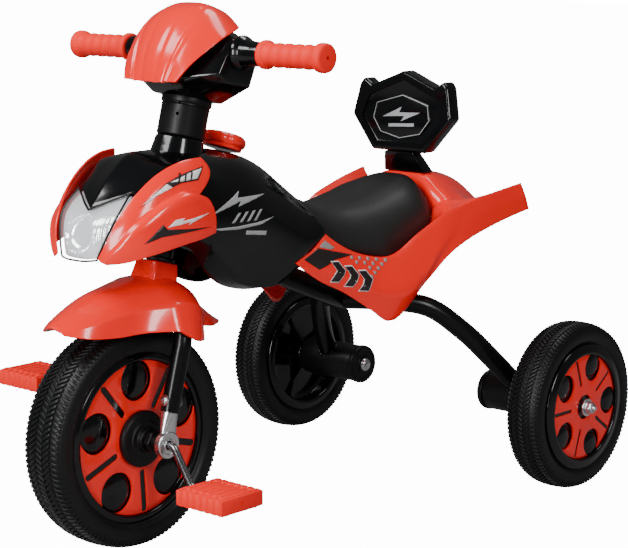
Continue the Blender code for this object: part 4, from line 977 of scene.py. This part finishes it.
def makeRearBush(side, s):
    inner, outer, bore = rearEnd["bushInner"], rearEnd["bushOuter"], rearEnd["bore"]
    bush = bossRing("axleBushBarrel_" + side, rearEnd["bushR"], bore, s * (inner + 0.009), s * outer,
                    blackSatin, onRearAxle, 0.0016, 64)
    settle(bush, "frame", "black_satin", "axle_bush_" + side)
    profile = [(bore, inner + 0.0087), (0.0260, inner + 0.0087), (0.0260, inner + 0.0030),
               (0.0240, inner + 0.0004), (0.0205, inner), (0.0190, inner + 0.0012), (0.0125, inner + 0.0012),
               (0.0115, inner), (bore, inner)]
    cap = turnedPiece("axleBushCap_" + side, profile, blackSatin, onRearAxle, s, 64, 0.0009, angle=50)
    settle(cap, "frame", "black_satin", "bush_cap_" + side)
    makeAxleBolt(side, s, inner - 0.0003)
    makeAxleNut(side, s)


def makeAxleBolt(side, s, headX):
    tipX, face = rearEnd["boltTip"], rearEnd["washer"]
    bolt = [(0, headX - 0.0062), (0.0045, headX - 0.0060), (0.0078, headX - 0.0040), (0.0090, headX - 0.0016),
            (0.0090, headX), (0.0040, headX)]
    pitch = 0.00045
    for k in range(int((tipX - face - 0.0115) / pitch)):  # a fine thread
        bolt.append((0.0040 - (0.00035 if k % 2 else 0), face + 0.0100 + pitch * k))
    bolt += [(0.0036, tipX - 0.0010), (0.0026, tipX), (0, tipX)]
    stud = turnedPiece("axleStud_" + side, bolt, zincPlate, onRearAxle, s, 32, ring=False, angle=35)
    settle(stud, "frame", "zinc", "axle_bolt_" + side)


def makeAxleNut(side, s):
    face, bore = rearEnd["washer"], rearEnd["bore"]
    washer = bossRing("axleWasherRing_" + side, 0.0112, bore, s * face, s * (face + 0.0016), zincPlate,
                      onRearAxle, 0.0003)
    settle(washer, "frame", "zinc", "axle_washer_" + side)
    low, high = face + 0.0019, face + 0.0088
    hexagon = [(bore, low), (0.0083, low), (0.0083, high - 0.0012), (0.0074, high), (bore, high)]
    nut = turnedPiece("axleNutHex_" + side, hexagon, zincPlate, onRearAxle, s, 6)
    soften(nut, 0.0005, 2, 30)
    bake(nut)
    crown = [(0.0042, high - 0.0004), (0.0066, high - 0.0004), (0.0062, high + 0.0012),
             (0.0050, high + 0.0022), (0.0042, high + 0.0024)]
    joinInto(nut, [turnedPiece("nutDome", crown, zincPlate, onRearAxle, s, 32)])
    settle(sharpen(nut, 35), "frame", "zinc", "axle_nut_" + side)


makeFrame()
print("frame made")


# fork, mudguard and front axle
fork = dict(halfWidth=0.0635, tube=0.0105, low=0.036, eyeX=0.0685, eyeHalf=0.0045)


def panScrew(name, place, ahead, mat, radius=0.0048, tall=0.0032):  # a round screw head with a cross recess
    dome = [(0, tall), (radius * 0.45, tall * 0.97), (radius * 0.75, tall * 0.80),
            (radius * 0.95, tall * 0.42), (radius, 0.0), (0, 0.0)]
    head = turnedPiece(name, dome, mat, lambda p: place((p[1], ahead * p[0], p[2])), 1, 28, ring=False,
                       angle=50)
    cross = bmesh.new()
    for turn in (0.0, pi / 2):
        half, reach = radius * 0.16, radius * 0.62
        outline = [(reach, -half), (reach, half), (-reach, half), (-reach, -half)]
        outline = [(u * cos(turn) - v * sin(turn), u * sin(turn) + v * cos(turn)) for u, v in outline]
        bar = plate(outline, tall * 0.45, tall * 1.5, lambda p: place((p[0], ahead * p[2], p[1])))
        mesh = bpy.data.meshes.new("bar")
        bar.to_mesh(mesh)
        bar.free()
        cross.from_mesh(mesh)
    tool = newPiece("crossTool", cross, mat)
    mod = head.modifiers.new("carve", "BOOLEAN")
    mod.object, mod.solver, mod.use_self = tool, "EXACT", True
    bake(head)
    bpy.data.objects.remove(tool, do_unlink=True)
    return sharpen(head, 40)


def makeForkLeg(side, s):
    w, top, low = fork["halfWidth"], headHeights["forkTop"], fork["low"]
    route = [(w, 0, low), (w, 0, (low + top) / 2), (w, 0, top - 0.048), (w - 0.008, 0, top - 0.023),
             (w - 0.028, 0, top - 0.004), (0.0, 0, top)]
    path = [onSteering((s * p.x, p.y, p.z)) for p in through(route, 9)]
    leg = newPiece("forkTube_" + side, sweep(path, fork["tube"], 36), paintBlack)
    bored(leg, 0.0128, top - 0.05, top + 0.05, aboutSteering)
    carve(leg, rod("forkBore", onSteering((s * w, 0, low - 0.01)), onSteering((s * w, 0, low + 0.027)),
                   0.0089, paintBlack, 36))
    settle(sharpen(leg, 45), "steering", "black_paint", "fork_leg_" + side)

    for ahead in (-1, 1):
        def place(p, ahead=ahead):
            return onSteering((s * w + p[0], ahead * fork["tube"] * 0.985 + p[1], low + 0.012 + p[2]))
        screw = panScrew(f"forkScrewHead_{side}_{'front' if ahead < 0 else 'rear'}", place, ahead, zincPlate)
        edge = [(0.0046, -0.0009), (0.0062, -0.0004), (0.0062, 0.0004), (0.0046, 0.0006)]
        joinInto(screw, [turnedPiece("screwRim", edge, zincPlate, lambda p: place((p[1], ahead * p[0], p[2])),
                                     1, 28)])
        sharpen(screw, 40)
        settle(screw, "steering", "zinc", *(["fork_screw_" + side] if ahead < 0 else []))


def makeDropout(side, s):  # a flattened tube end that runs down into a thick round eye
    low, eyeX = fork["low"], fork["eyeX"]
    rows = []
    count = 40
    for k in range(15):
        t = k / 14
        z = low - 0.0004 - t * (low - 0.0004)
        ease = t * t * (3 - 2 * t)
        x = fork["halfWidth"] + (eyeX - fork["halfWidth"]) * ease
        halfX = 0.0098 + (fork["eyeHalf"] - 0.0098) * min(ease * 1.35, 1)
        halfY = 0.0098 + 0.0004 * sin(pi * t) + 0.0008 * ease
        square = 1 - 0.45 * ease
        ring = []
        for i in range(count):
            a = 2 * pi * i / count
            ca, sa = cos(a), sin(a)
            ring.append(onSteering((s * (x + halfX * (abs(ca) ** square) * (1 if ca > 0 else -1)),
                                    halfY * (abs(sa) ** square) * (1 if sa > 0 else -1), z)))
        rows.append(ring)
    neck = sheetMesh(rows, True)
    neck.faces.new(neck.verts[:count])
    neck.faces.new(neck.verts[-count:])
    body = newPiece("forkEnd_" + side, neck, zincPlate, 50)
    bore, half = 0.0051, 0.0046
    eye = [(bore, eyeX - half), (0.0145, eyeX - half), (0.0155, eyeX - 0.0036), (0.0155, eyeX + 0.0036),
           (0.0145, eyeX + half), (0.0105, eyeX + half), (0.0100, eyeX + 0.0038), (0.0072, eyeX + 0.0038),
           (0.0068, eyeX + half), (bore, eyeX + half)]
    carve(body, turnedPiece("forkEye", eye, zincPlate, onFrontAxle, s, 56, 0.0007, angle=50), "UNION")
    bored(body, bore, s * (eyeX - 0.03), s * (eyeX + 0.03), onFrontAxle, 40)
    plug = [(0, low - 0.004), (0.0086, low - 0.004), (0.0086, low + 0.024), (0, low + 0.024)]
    stub = turnedPiece("forkPlug", plug, zincPlate,
                       lambda p: onSteering((s * fork["halfWidth"] + p[1], p[2], p[0])), 1, 36, ring=False)
    joinInto(body, [stub])
    settle(sharpen(body, 42), "steering", "zinc", "dropout_" + side)


pedal = dict(low=0.122, length=0.070, half=0.032, thick=0.0098, teeth=7, throw=0.0425, lean=radians(8))


def makeCrank():
    lean, bend = pedal["lean"], 0.0066
    down = Vector((0, -sin(lean), -cos(lean))) * pedal["throw"]
    inner = Vector((fork["eyeX"] + fork["eyeHalf"] + bend, 0, 0))
    outer = Vector((pedal["low"] - bend, 0, 0)) + down
    tip = Vector((0.188, 0, 0)) + down
    corners = [-tip, -outer, -inner, inner, outer, tip]
    path = [corners[0]]
    for i in range(1, 5):
        before, p, after = corners[i - 1:i + 2]
        start, end = p + (before - p).normalized() * 0.0075, p + (after - p).normalized() * 0.0075
        path += [start.lerp(p, t).lerp(p.lerp(end, t), t) for t in (k / 8 for k in range(9))]
    path.append(corners[-1])
    crank = newPiece("crankRod", sweep([onFrontAxle(p) for p in path], 0.0045, 28), chromeRod, 50)
    settle(crank, "front_wheel", "zinc", "crank_axle")


def makePedal(side, s):
    low, length, half, thick, teeth = (pedal[key] for key in ("low", "length", "half", "thick", "teeth"))
    centre = (0, -s * pedal["throw"] * sin(pedal["lean"]), -s * pedal["throw"] * cos(pedal["lean"]))

    def put(p):
        return onFrontAxle((s * p[0], p[1] + centre[1], p[2] + centre[2]))

    outline = []
    for edge in (1, -1):
        for k in range(teeth * 6 + 1):
            u = k / (teeth * 6)
            x = low + length * (u if edge > 0 else 1 - u)
            wave = 0.0019 * (0.5 + 0.5 * cos(2 * pi * teeth * u))
            outline.append((x, edge * (half - 0.0018 + wave)))
    body = newPiece("pedalBlock_" + side, plate(outline, -thick + 0.0012, thick - 0.0012, put), redSoft, 30)
    soften(body, 0.0010, 2, 50)
    bake(body)
    end = low + length
    carve(body, rod("pedalBore", put((low - 0.01, 0, 0)), put((end - 0.0034, 0, 0)), 0.0051, redSoft, 32))
    carve(body, rod("pedalHole", put((end - 0.0016, 0, 0)), put((end + 0.004, 0, 0)), 0.0019, redSoft))
    extra = []
    for face in (1, -1):  # grip ribs across the top and the bottom
        rib = bmesh.new()
        wide, tall = 0.0031, 0.0013
        ends = []
        for y in (-half + 0.0012, -half + 0.0030, half - 0.0030, half - 0.0012):
            lift = tall if abs(y) < half - 0.002 else tall * 0.3
            section = [(-1, -0.0004), (-0.86, lift * 0.85), (-0.6, lift), (0.6, lift), (0.86, lift * 0.85),
                       (1, -0.0004)]
            ends.append([rib.verts.new(Vector((s * wide * x, y, face * z))) for x, z in section])
        for a, b in zip(ends, ends[1:]):
            for i in range(6):
                rib.faces.new((a[i], a[(i + 1) % 6], b[(i + 1) % 6], b[i]))
        rib.faces.new(ends[0])
        rib.faces.new(ends[-1])
        extra.append(repeated(f"pedalRibs{face}", rib, redSoft, teeth,
                              put((low + 0.0052, 0, face * (thick - 0.0012))), turnStep=0.0,
                              shift=(s * (length - 0.0104) / (teeth - 1), 0, 0)))
        for y in (-0.0215, 0.0215):
            z = face * (thick - 0.0014)
            extra.append(rod("rail", put((low + 0.002, y, z)), put((end - 0.002, y, z)), 0.0018, redSoft, 12))
    joinInto(body, extra)
    settle(sharpen(body, 40), "pedal_" + side, "red_soft", "pedal_" + side)


def makeFender():
    lift = frontAxle.z
    rows = [
        [(0, -0.140, -0.022), (0.008, -0.139, -0.023), (0.014, -0.137, -0.025), (0.018, -0.134, -0.028)],
        [(0, -0.118, -0.001), (0.017, -0.117, -0.006), (0.030, -0.115, -0.015), (0.035, -0.113, -0.027)],
        [(0, -0.087, 0.021), (0.023, -0.086, 0.016), (0.040, -0.084, 0.001), (0.044, -0.082, -0.021)],
        [(0, -0.052, 0.038), (0.027, -0.052, 0.033), (0.048, -0.050, 0.014), (0.054, -0.048, -0.010)],
        [(0, -0.022, 0.051), (0.033, -0.022, 0.046), (0.064, -0.020, 0.027), (0.076, -0.018, -0.001)],
        [(0, 0.008, 0.056), (0.034, 0.008, 0.051), (0.067, 0.008, 0.031), (0.081, 0.009, -0.008)],
        [(0, 0.034, 0.052), (0.030, 0.033, 0.045), (0.056, 0.031, 0.025), (0.071, 0.027, -0.006)],
        [(0, 0.062, 0.038), (0.020, 0.060, 0.032), (0.035, 0.056, 0.021), (0.043, 0.049, 0.009)],
        [(0, 0.088, 0.027), (0.015, 0.086, 0.023), (0.026, 0.081, 0.018), (0.035, 0.073, 0.012)],
        [(0, 0.109, 0.020), (0.008, 0.107, 0.0195), (0.015, 0.102, 0.018), (0.022, 0.094, 0.015)],
    ]
    rows = [bothSides([(x, y, z + lift) for x, y, z in row]) for row in rows]
    fender = moulded("mudguard", rows, onSteering, (0, 0, 1.0), 0.0026, redGloss, onBothSides(rows[0][3:], 2),
                     across=8, along=6, rowSeams=(4, 6))
    corners = []
    for half, z in ((0.0205, 0.1742), (0.0190, 0.178), (0.0172, 0.1999)):
        corners += [onSteering((half * s, y, z)) for y in (half, -half) for s in (1, -1)]
    neck = newPiece("mudguardNeck", hullOf(corners), redGloss)
    soften(neck, 0.0022, 3, 40)
    bake(neck)
    carve(fender, neck, "UNION")
    bored(fender, 0.0128, 0.128, 0.30, aboutSteering)
    settle(sharpen(fender, 38), "steering", "red_gloss", "front_fender")


for side, s in sides:
    makeForkLeg(side, s)
    makeDropout(side, s)
    makePedal(side, s)
makeCrank()
makeFender()
print("fork and pedals made")


# handlebar and console
def aboutBar(p):
    return onSteering((p[0], p[1], p[2] + headHeights["bar"]))


def makeStem():
    h = headHeights
    steerer = bossRing("steererTube", 0.0125, 0.0107, h["forkTop"] - 0.013, h["bar"] - 0.0135, paintBlack,
                       aboutSteering)
    settle(steerer, "steering", "black_paint", "steerer_tube")
    base, top = h["stemBase"], h["stemTop"]
    cover = [(0.0129, base), (0.0264, base), (0.0275, base + 0.0012), (0.0277, base + 0.0350),
             (0.0285, top - 0.0095), (0.0276, top - 0.0090), (0.0276, top - 0.0070), (0.0290, top - 0.0065),
             (0.0293, top), (0.0129, top)]
    stem = turnedPiece("stemCover", cover, blackSatin, aboutSteering, 1, 72, 0.0004, 2, angle=50)
    for tall, wide in ((base + 0.024, 0.0021), (base + 0.037, 0.0016)):  # screw holes
        spot = Vector((0.0135, -0.0235, tall))
        inward = Vector((-0.5, 0.866, 0)) * 0.005
        carve(stem, rod("stemHole", onSteering(spot - inward), onSteering(spot + inward), wide, blackSatin,
                        20))
    settle(sharpen(stem, 40), "steering", "black_satin", "stem_cover")

    low = h["collarBase"]
    neck = [(0.0131, low), (0.0300, low), (0.0318, low + 0.003), (0.0322, low + 0.012),
            (0.0319, low + 0.0180), (0.0312, low + 0.0192), (0.0318, low + 0.0204), (0.0319, low + 0.0222),
            (0.0298, low + 0.033), (0.0279, low + 0.0440), (0.0268, low + 0.0458), (0.0131, low + 0.0458)]
    collar = turnedPiece("headCollar", neck, blackGloss, aboutSteering, 1, 72, 0.0008, angle=50)
    settle(sharpen(collar, 45), "frame", "black_gloss", "head_collar")


def makeHousing():
    points = [(0.072, -0.015, 0.012), (0.072, 0.016, 0.014), (0.072, 0.028, -0.006), (0.072, 0.024, -0.034),
              (0.072, -0.014, -0.037), (0.072, -0.028, -0.030), (0.050, -0.032, -0.004),
              (0.048, 0.006, 0.022), (0.052, 0.034, 0.012), (0.034, -0.046, -0.040), (0.026, 0.006, 0.033),
              (0.030, 0.038, 0.018), (0.030, 0.026, -0.0555), (0.030, -0.026, -0.0555),
              (0.034, 0.034, -0.030), (0.026, -0.044, -0.006)]
    corners = [aboutBar((s * x, y, z)) for x, y, z in points for s in (1, -1)]
    housing = newPiece("consoleHousing", hullOf(corners), blackGloss)
    soften(housing, 0.0020, 3, 14)
    bake(housing)
    bored(housing, 0.0098, -0.2, 0.2, aboutBar, 40)
    bored(housing, 0.0128, 0.37, 0.444, aboutSteering, 40)
    for s in (1, -1):  # screw holes under the front
        start, end = aboutBar((s * 0.022, -0.052, -0.050)), aboutBar((s * 0.022, -0.034, -0.036))
        carve(housing, rod("housingHole", start, end, 0.0022, blackGloss, 20))
    settle(sharpen(housing, 32), "steering", "black_gloss", "console_housing")


def makeVisor():
    rows = [
        [(0, -0.0665, -0.050), (0.016, -0.0660, -0.050), (0.030, -0.0650, -0.049), (0.042, -0.0630, -0.048)],
        [(0, -0.0670, -0.022), (0.018, -0.0660, -0.023), (0.036, -0.0630, -0.024), (0.052, -0.0560, -0.028)],
        [(0, -0.0610, 0.006), (0.020, -0.0600, 0.005), (0.041, -0.0560, 0.001), (0.061, -0.0430, -0.008)],
        [(0, -0.0470, 0.034), (0.020, -0.0460, 0.033), (0.041, -0.0410, 0.027), (0.067, -0.0280, 0.010)],
        [(0, -0.0230, 0.051), (0.018, -0.0225, 0.050), (0.036, -0.0190, 0.044), (0.064, -0.0100, 0.022)],
        [(0, 0.0000, 0.0520), (0.018, 0.0000, 0.0510), (0.034, 0.0010, 0.0460), (0.058, 0.0040, 0.0300)],
    ]
    grid = smoothGrid([bothSides(row) for row in rows], 12, 9)
    wide = len(grid[0]) - 1
    folded = []
    for i, row in enumerate(grid):
        t = i / (len(grid) - 1)
        line = []
        for k, p in enumerate(row):
            u = abs(2 * k / wide - 1)
            fold = (0.0022 * max(0, 1 - abs(u - 0.60) / 0.05) - 0.0016 * max(0, 1 - abs(u - 0.50) / 0.07)
                    - 0.0012 * max(0, 1 - abs(u - 0.22) / 0.10)) * max(0.0, 1 - t * 1.15)
            line.append((p.x, p.y - fold, p.z + fold * 0.3))
        folded.append(line)
    visor = moulded("consoleFairing", folded, aboutBar, (0, -1.0, 0.6), 0.0024, redGloss, across=1, along=1)
    settle(sharpen(visor, 55), "steering", "red_gloss", "console_fairing")


def makeBar():
    tube = bossRing("handlebarTube", 0.0095, 0.0077, -0.1975, 0.1975, paintBlack, aboutBar, 0.0004)
    settle(tube, "steering", "black_paint", "handlebar")
    inner, span = 0.107, 0.2025
    for side, s in sides:
        sleeve = [(0.0098, 0.0725), (0.0200, 0.0725), (0.0205, 0.0750), (0.0192, 0.0780), (0.0166, 0.0820),
                  (0.0148, 0.0880), (0.0140, 0.0950), (0.0136, 0.1030), (0.0130, inner - 0.0003),
                  (0.0098, inner - 0.0003)]
        flare = turnedPiece("barSleeve_" + side, sleeve, blackGloss, aboutBar, s, 56, 0.0006, 2, angle=50)
        settle(sharpen(flare, 45), "steering", "black_gloss", "bar_sleeve_" + side)
        makeGrip(side, s, inner, span)


def makeGrip(side, s, inner, span):
    grip = [(0.0098, inner), (0.0140, inner), (0.0160, inner + 0.0012), (0.0165, inner + 0.0030),
            (0.0165, inner + 0.0060), (0.0158, inner + 0.0078), (0.0138, inner + 0.0092)]
    start, end = inner + 0.0092, span - 0.0125
    rings = 46
    for k in range(1, rings):  # fine rings between five broad waves
        u = k / rings
        wave = 0.0005 * cos(2 * pi * 5 * u)
        fine = 0.00022 * (1 if k % 2 else -1)
        grip.append((0.0133 + wave + fine, start + (end - start) * u))
    grip += [(0.0138, end), (0.0160, end + 0.0016), (0.0165, end + 0.0036), (0.0165, span - 0.0042),
             (0.0160, span - 0.0018), (0.0145, span - 0.0004), (0.0120, span), (0.0022, span),
             (0.0022, span - 0.0047), (0.0098, span - 0.0047)]
    handle = turnedPiece("gripSleeve_" + side, grip, redSoft, aboutBar, s, 72)
    settle(sharpen(handle, 50), "steering", "red_soft", "grip_" + side)


makeStem()
makeHousing()
makeVisor()
makeBar()
print("cockpit made")


# filler cap and backrest
def makeCap():
    lobes, radius, count = 6, 0.0255, 96
    centre = Vector((0, 0.1585, 0.1845))
    tilt = Matrix.Rotation(radians(-19), 3, "X")
    rows = []
    for share, height, wave in ((0.80, 0.0, 0.0), (0.90, 0.0006, 0.0), (0.92, 0.0035, 0.0),
                                (0.90, 0.0042, 0.0), (0.98, 0.0052, 0.4), (1.02, 0.0085, 1.0),
                                (1.02, 0.0120, 1.0), (0.98, 0.0150, 0.9), (0.90, 0.0172, 0.6),
                                (0.80, 0.0180, 0.3), (0.74, 0.0170, 0.1), (0.66, 0.0165, 0.0),
                                (0.60, 0.0172, 0.0), (0.40, 0.0186, 0.0), (0.15, 0.0190, 0.0)):
        ring = []
        for k in range(count):
            a = 2 * pi * k / count
            swell = share * (1 + wave * 0.075 * (abs(cos(lobes * a / 2)) ** 0.7 - 0.5))
            ring.append(onBody(centre + tilt @ Vector((radius * swell * cos(a), radius * swell * sin(a),
                                                       height))))
        rows.append(ring)
    bm = sheetMesh(rows, True)
    bm.verts.ensure_lookup_table()
    bm.faces.new(bm.verts[:count])
    bm.faces.new(bm.verts[-count:])
    settle(newPiece("fillerCap", bm, redGloss, 45), "frame", "red_gloss", "tank_cap")


backrest = dict(foot=0.155, front=0.478, lean=0.11, thick=0.022)


def onBackrest(p):  # (x, height, depth behind the front face's foot)
    return onBody((p[0], p[2] + (p[1] - backrest["foot"]) * backrest["lean"], p[1]))


def makeBackrest():
    foot, front, thick = backrest["foot"], backrest["front"], backrest["thick"]
    half = [(0, 0.2585), (0.052, 0.2385), (0.066, 0.2475), (0.073, 0.239), (0.082, 0.199), (0.044, foot)]
    outline = half + [(-x, z) for x, z in reversed(half[1:])]
    panel = newPiece("backrestPad", plate(outline, front, front + thick, onBackrest), blackGloss)
    soften(panel, 0.0042, 4, 25)
    bake(panel)
    recess = [(0, 0.2465), (0.0455, 0.2285), (0.0545, 0.2245), (0.0650, 0.1985), (0.0375, 0.1660)]
    recess = recess + [(-x, z) for x, z in reversed(recess[1:])]
    tool = newPiece("recessTool", plate(recess, front - 0.01, front + 0.0035, onBackrest), blackGloss)
    soften(tool, 0.0016, 2, 25)
    bake(tool)
    carve(panel, tool)
    for s in (1, -1):  # the ears' long side flutes
        flute = [onBackrest((s * 0.0722, 0.2430, front - 0.0005)),
                 onBackrest((s * 0.0738, 0.2310, front - 0.0012)),
                 onBackrest((s * 0.0785, 0.2060, front - 0.0005))]
        carve(panel, newPiece("flute", sweep(flute, 0.0017, 12), blackGloss))
    settle(sharpen(panel, 35), "frame", "black_gloss", "backrest_panel")

    badge = [(0, 0.228), (0.044, 0.216), (0.048, 0.196), (0.034, 0.178), (0, 0.171)]
    badge = badge + [(-x, z) for x, z in reversed(badge[1:-1])]
    face = newPiece("badgePlate", plate(badge, front + 0.0022, front + 0.0034, onBackrest), blackGloss)
    soften(face, 0.0005, 2, 25)
    bake(face)
    settle(sharpen(face, 35), "frame", "black_gloss", "backrest_badge")
    loop = [onBackrest((x * 0.955, 0.1985 + (z - 0.1985) * 0.955, front + 0.0021)) for x, z in badge]
    line = newPiece("badgeOutline", sweep([*loop, loop[0], loop[0].lerp(loop[1], 0.05)], 0.0006, 8),
                    printSilver)
    settle(line, "frame", "black_gloss")

    low = 0.1278
    corners = ((0.0240, 0.4795, foot - 0.0003), (0.0240, 0.4955, foot - 0.0003), (0.0335, 0.4915, low),
               (0.0335, 0.5115, low))
    post = hullOf([onBody((s * x, y, z)) for s in (1, -1) for x, y, z in corners])
    post = newPiece("backrestPost", post, blackGloss)
    soften(post, 0.0020, 3, 30)
    bake(post)
    settle(sharpen(post, 35), "frame", "black_gloss", "backrest_post")


makeCap()
makeBackrest()
print("cap and backrest made")


# printed graphics, laid on the shells
def sliced(outline, cell=0.0025):  # an outline filled with small cells
    bm = bmesh.new()
    bm.faces.new([bm.verts.new((0, u, v)) for u, v in outline])
    for axis in (1, 2):
        low = min(p[axis - 1] for p in outline)
        high = max(p[axis - 1] for p in outline)
        for k in range(1, int((high - low) / cell) + 1):
            at, normal = Vector((0, 0, 0)), Vector((0, 0, 0))
            at[axis], normal[axis] = low + k * cell, 1
            bmesh.ops.bisect_plane(bm, geom=[*bm.verts, *bm.edges, *bm.faces], dist=1e-7, plane_co=at,
                                   plane_no=normal)
    return bm


def decal(name, host, s, outline, mat, slot, lift=0.0003):  # the outline is (y, z) from the body's spot
    tree = BVHTree.FromPolygons([v.co for v in host.data.vertices],
                                [tuple(f.vertices) for f in host.data.polygons])
    bm = sliced(outline)
    missed = []
    for vert in bm.verts:
        start = onBody((s * 0.30, vert.co.y, vert.co.z))
        spot, normal, _, _ = tree.ray_cast(start, Vector((-s, 0, 0)), 0.30)
        if spot is None or abs(normal.x) < 0.1:
            missed.append(vert)
            continue
        vert.co = spot + normal * (lift if normal.x * s > 0 else -lift)
    bmesh.ops.delete(bm, geom=missed, context="VERTS")
    bm.normal_update()
    turned = [f for f in bm.faces if f.normal.x * s < 0]
    bmesh.ops.reverse_faces(bm, faces=turned)
    obj = newPiece(name, bm, mat, 60, turnOut=False)
    wall = obj.modifiers.new("film", "SOLIDIFY")
    wall.thickness = 0.00008
    wall.offset = 1
    bake(obj)
    return settle(obj, "frame", slot)


def grown(outline, by):  # an outline pushed outwards, for the edging under a graphic
    middle = (sum(u for u, _ in outline) / len(outline), sum(v for _, v in outline) / len(outline))
    out = []
    for u, v in outline:
        away = Vector((u - middle[0], v - middle[1]))
        away = away.normalized() * by
        out.append((u + away.x, v + away.y))
    return out


def makeTankGraphics(side, s):
    bolt = [(0.064, 0.1225), (0.1130, 0.1462), (0.1085, 0.1385), (0.159, 0.1380), (0.1080, 0.1285),
            (0.1130, 0.1345)]
    decal("tankBolt_" + side, tankShell, s, bolt, printSilver, "silver_reflector")
    sweepStroke = [(0.066, 0.1075), (0.105, 0.1065), (0.1397, 0.1073), (0.172, 0.1105), (0.1458, 0.1040),
                   (0.106, 0.1028), (0.080, 0.1045)]
    decal("tankStroke_" + side, tankShell, s, sweepStroke, printSilver, "silver_reflector")
    for k in range(4):
        y = 0.096 + 0.0125 * k
        bar = [(y, 0.1110 - 0.0004 * k), (y + 0.0050, 0.1110 - 0.0004 * k), (y + 0.0165, 0.1215),
               (y + 0.0115, 0.1215)]
        decal(f"tankBar{k}_" + side, tankShell, s, bar, printSilver, "silver_reflector")
    dash = [(0.120, 0.0955), (0.156, 0.0905), (0.157, 0.0955), (0.121, 0.1000)]
    decal("tankDash_" + side, tankShell, s, dash, printSilver, "silver_reflector")


def makeFairingGraphics(side, s):
    host = fairings[side]
    strip = [(-0.0318, 0.1403), (-0.0135, 0.1550), (0.0015, 0.1650), (0.0165, 0.1712), (0.0335, 0.1762),
             (0.0520, 0.1795), (0.0410, 0.1655), (0.0190, 0.1640), (0.0030, 0.1590), (-0.0125, 0.1520)]
    decal("stripEdge_" + side, host, s, strip, printDark, "black_gloss")
    light = [(-0.0290, 0.1428), (-0.0130, 0.1545), (0.0015, 0.1640), (0.0070, 0.1600), (-0.0115, 0.1527)]
    decal("stripTail_" + side, host, s, light, printWhite, "silver_reflector", 0.0006)
    arrow = [(0.0060, 0.1655), (0.0340, 0.1745), (0.0495, 0.1778), (0.0400, 0.1672), (0.0190, 0.1655)]
    decal("stripArrow_" + side, host, s, arrow, printWhite, "silver_reflector", 0.0006)
    for k in range(3):
        y = 0.0145 + 0.0075 * k
        notch = [(y, 0.1650), (y + 0.0022, 0.1650), (y + 0.0062, 0.1745), (y + 0.0040, 0.1745)]
        decal(f"stripNotch{k}_" + side, host, s, notch, printDark, "black_gloss", 0.0009)
    wedge = [(-0.0360, 0.1025), (-0.0225, 0.1152), (-0.0145, 0.1224), (-0.0105, 0.1168), (0.0134, 0.1150),
             (0.0492, 0.1140), (0.0132, 0.1112), (-0.0165, 0.1088)]
    decal("lobeWedge_" + side, host, s, wedge, printDark, "black_gloss")
    stroke = [(-0.0095, 0.1185), (0.0000, 0.1262), (0.0120, 0.1275), (0.0080, 0.1240), (0.0470, 0.1300),
              (0.0160, 0.1195), (0.0190, 0.1225)]
    decal("lobeStroke_" + side, host, s, stroke, printWhite, "silver_reflector")


def makeRearGraphics(side, s):
    grey = [(0.2500, 0.0650), (0.2615, 0.0715), (0.2752, 0.0613), (0.2677, 0.0601)]
    decal("panelGrey_" + side, rearBody, s, grey, printGrey, "silver_reflector")
    black = [(0.2240, 0.0530), (0.2470, 0.0640), (0.3014, 0.0505), (0.2700, 0.0480), (0.2457, 0.0387)]
    decal("panelDark_" + side, rearBody, s, black, printDark, "black_gloss")
    for row in range(5):
        for col in range(9):
            if (row + col) % 2 or row > 5 - abs(col - 3):
                continue
            y, z = 0.2965 + 0.0062 * col, 0.0500 - 0.0054 * row - 0.0010 * col
            if (y < 0.318 and z < 0.041) or z < 0.017:
                continue
            square = [(y, z), (y + 0.0044, z - 0.0007), (y + 0.0044, z - 0.0048), (y, z - 0.0041)]
            decal(f"chequer{row}{col}_" + side, rearBody, s, square, printGrey, "silver_reflector")
    for k in range(3):  # three plain chevrons
        y, z = 0.2630 + 0.0205 * k, 0.0345 - 0.0075 * k
        chevron = [(y, z + 0.0115), (y + 0.0115, z + 0.0105), (y + 0.0195, z - 0.0005),
                   (y + 0.0105, z - 0.0130), (y - 0.0010, z - 0.0115), (y + 0.0070, z + 0.0005)]
        decal(f"chevronEdge{k}_" + side, rearBody, s, grown(chevron, 0.0014), printWhite, "silver_reflector",
              0.0006)
        decal(f"chevron{k}_" + side, rearBody, s, chevron, printDark, "black_gloss", 0.0009)


def makeBadgeMark():  # a plain bolt and a dash on the backrest's badge
    bolt = [(-0.031, 0.1980), (0.000, 0.2120), (-0.004, 0.2045), (0.031, 0.2060), (0.000, 0.1935),
            (0.005, 0.2005)]
    dash = [(-0.020, 0.1855), (0.022, 0.1880), (0.022, 0.1920), (-0.020, 0.1895)]
    for name, outline in (("badgeBolt", bolt), ("badgeDash", dash)):
        mark = newPiece(name, plate(outline, backrest["front"] + 0.0019, backrest["front"] + 0.0021,
                                    onBackrest), printSilver)
        settle(mark, "frame", "silver_reflector")


for side, s in sides:
    makeTankGraphics(side, s)
    makeFairingGraphics(side, s)
    makeRearGraphics(side, s)
makeBadgeMark()
print("graphics laid")

floorSize = 14.0
corners = [[Vector((x, y, -0.0005)) for x in (-floorSize, floorSize)] for y in (-floorSize, floorSize)]
floor = newPiece("floor", sheetMesh(corners), floorPale)
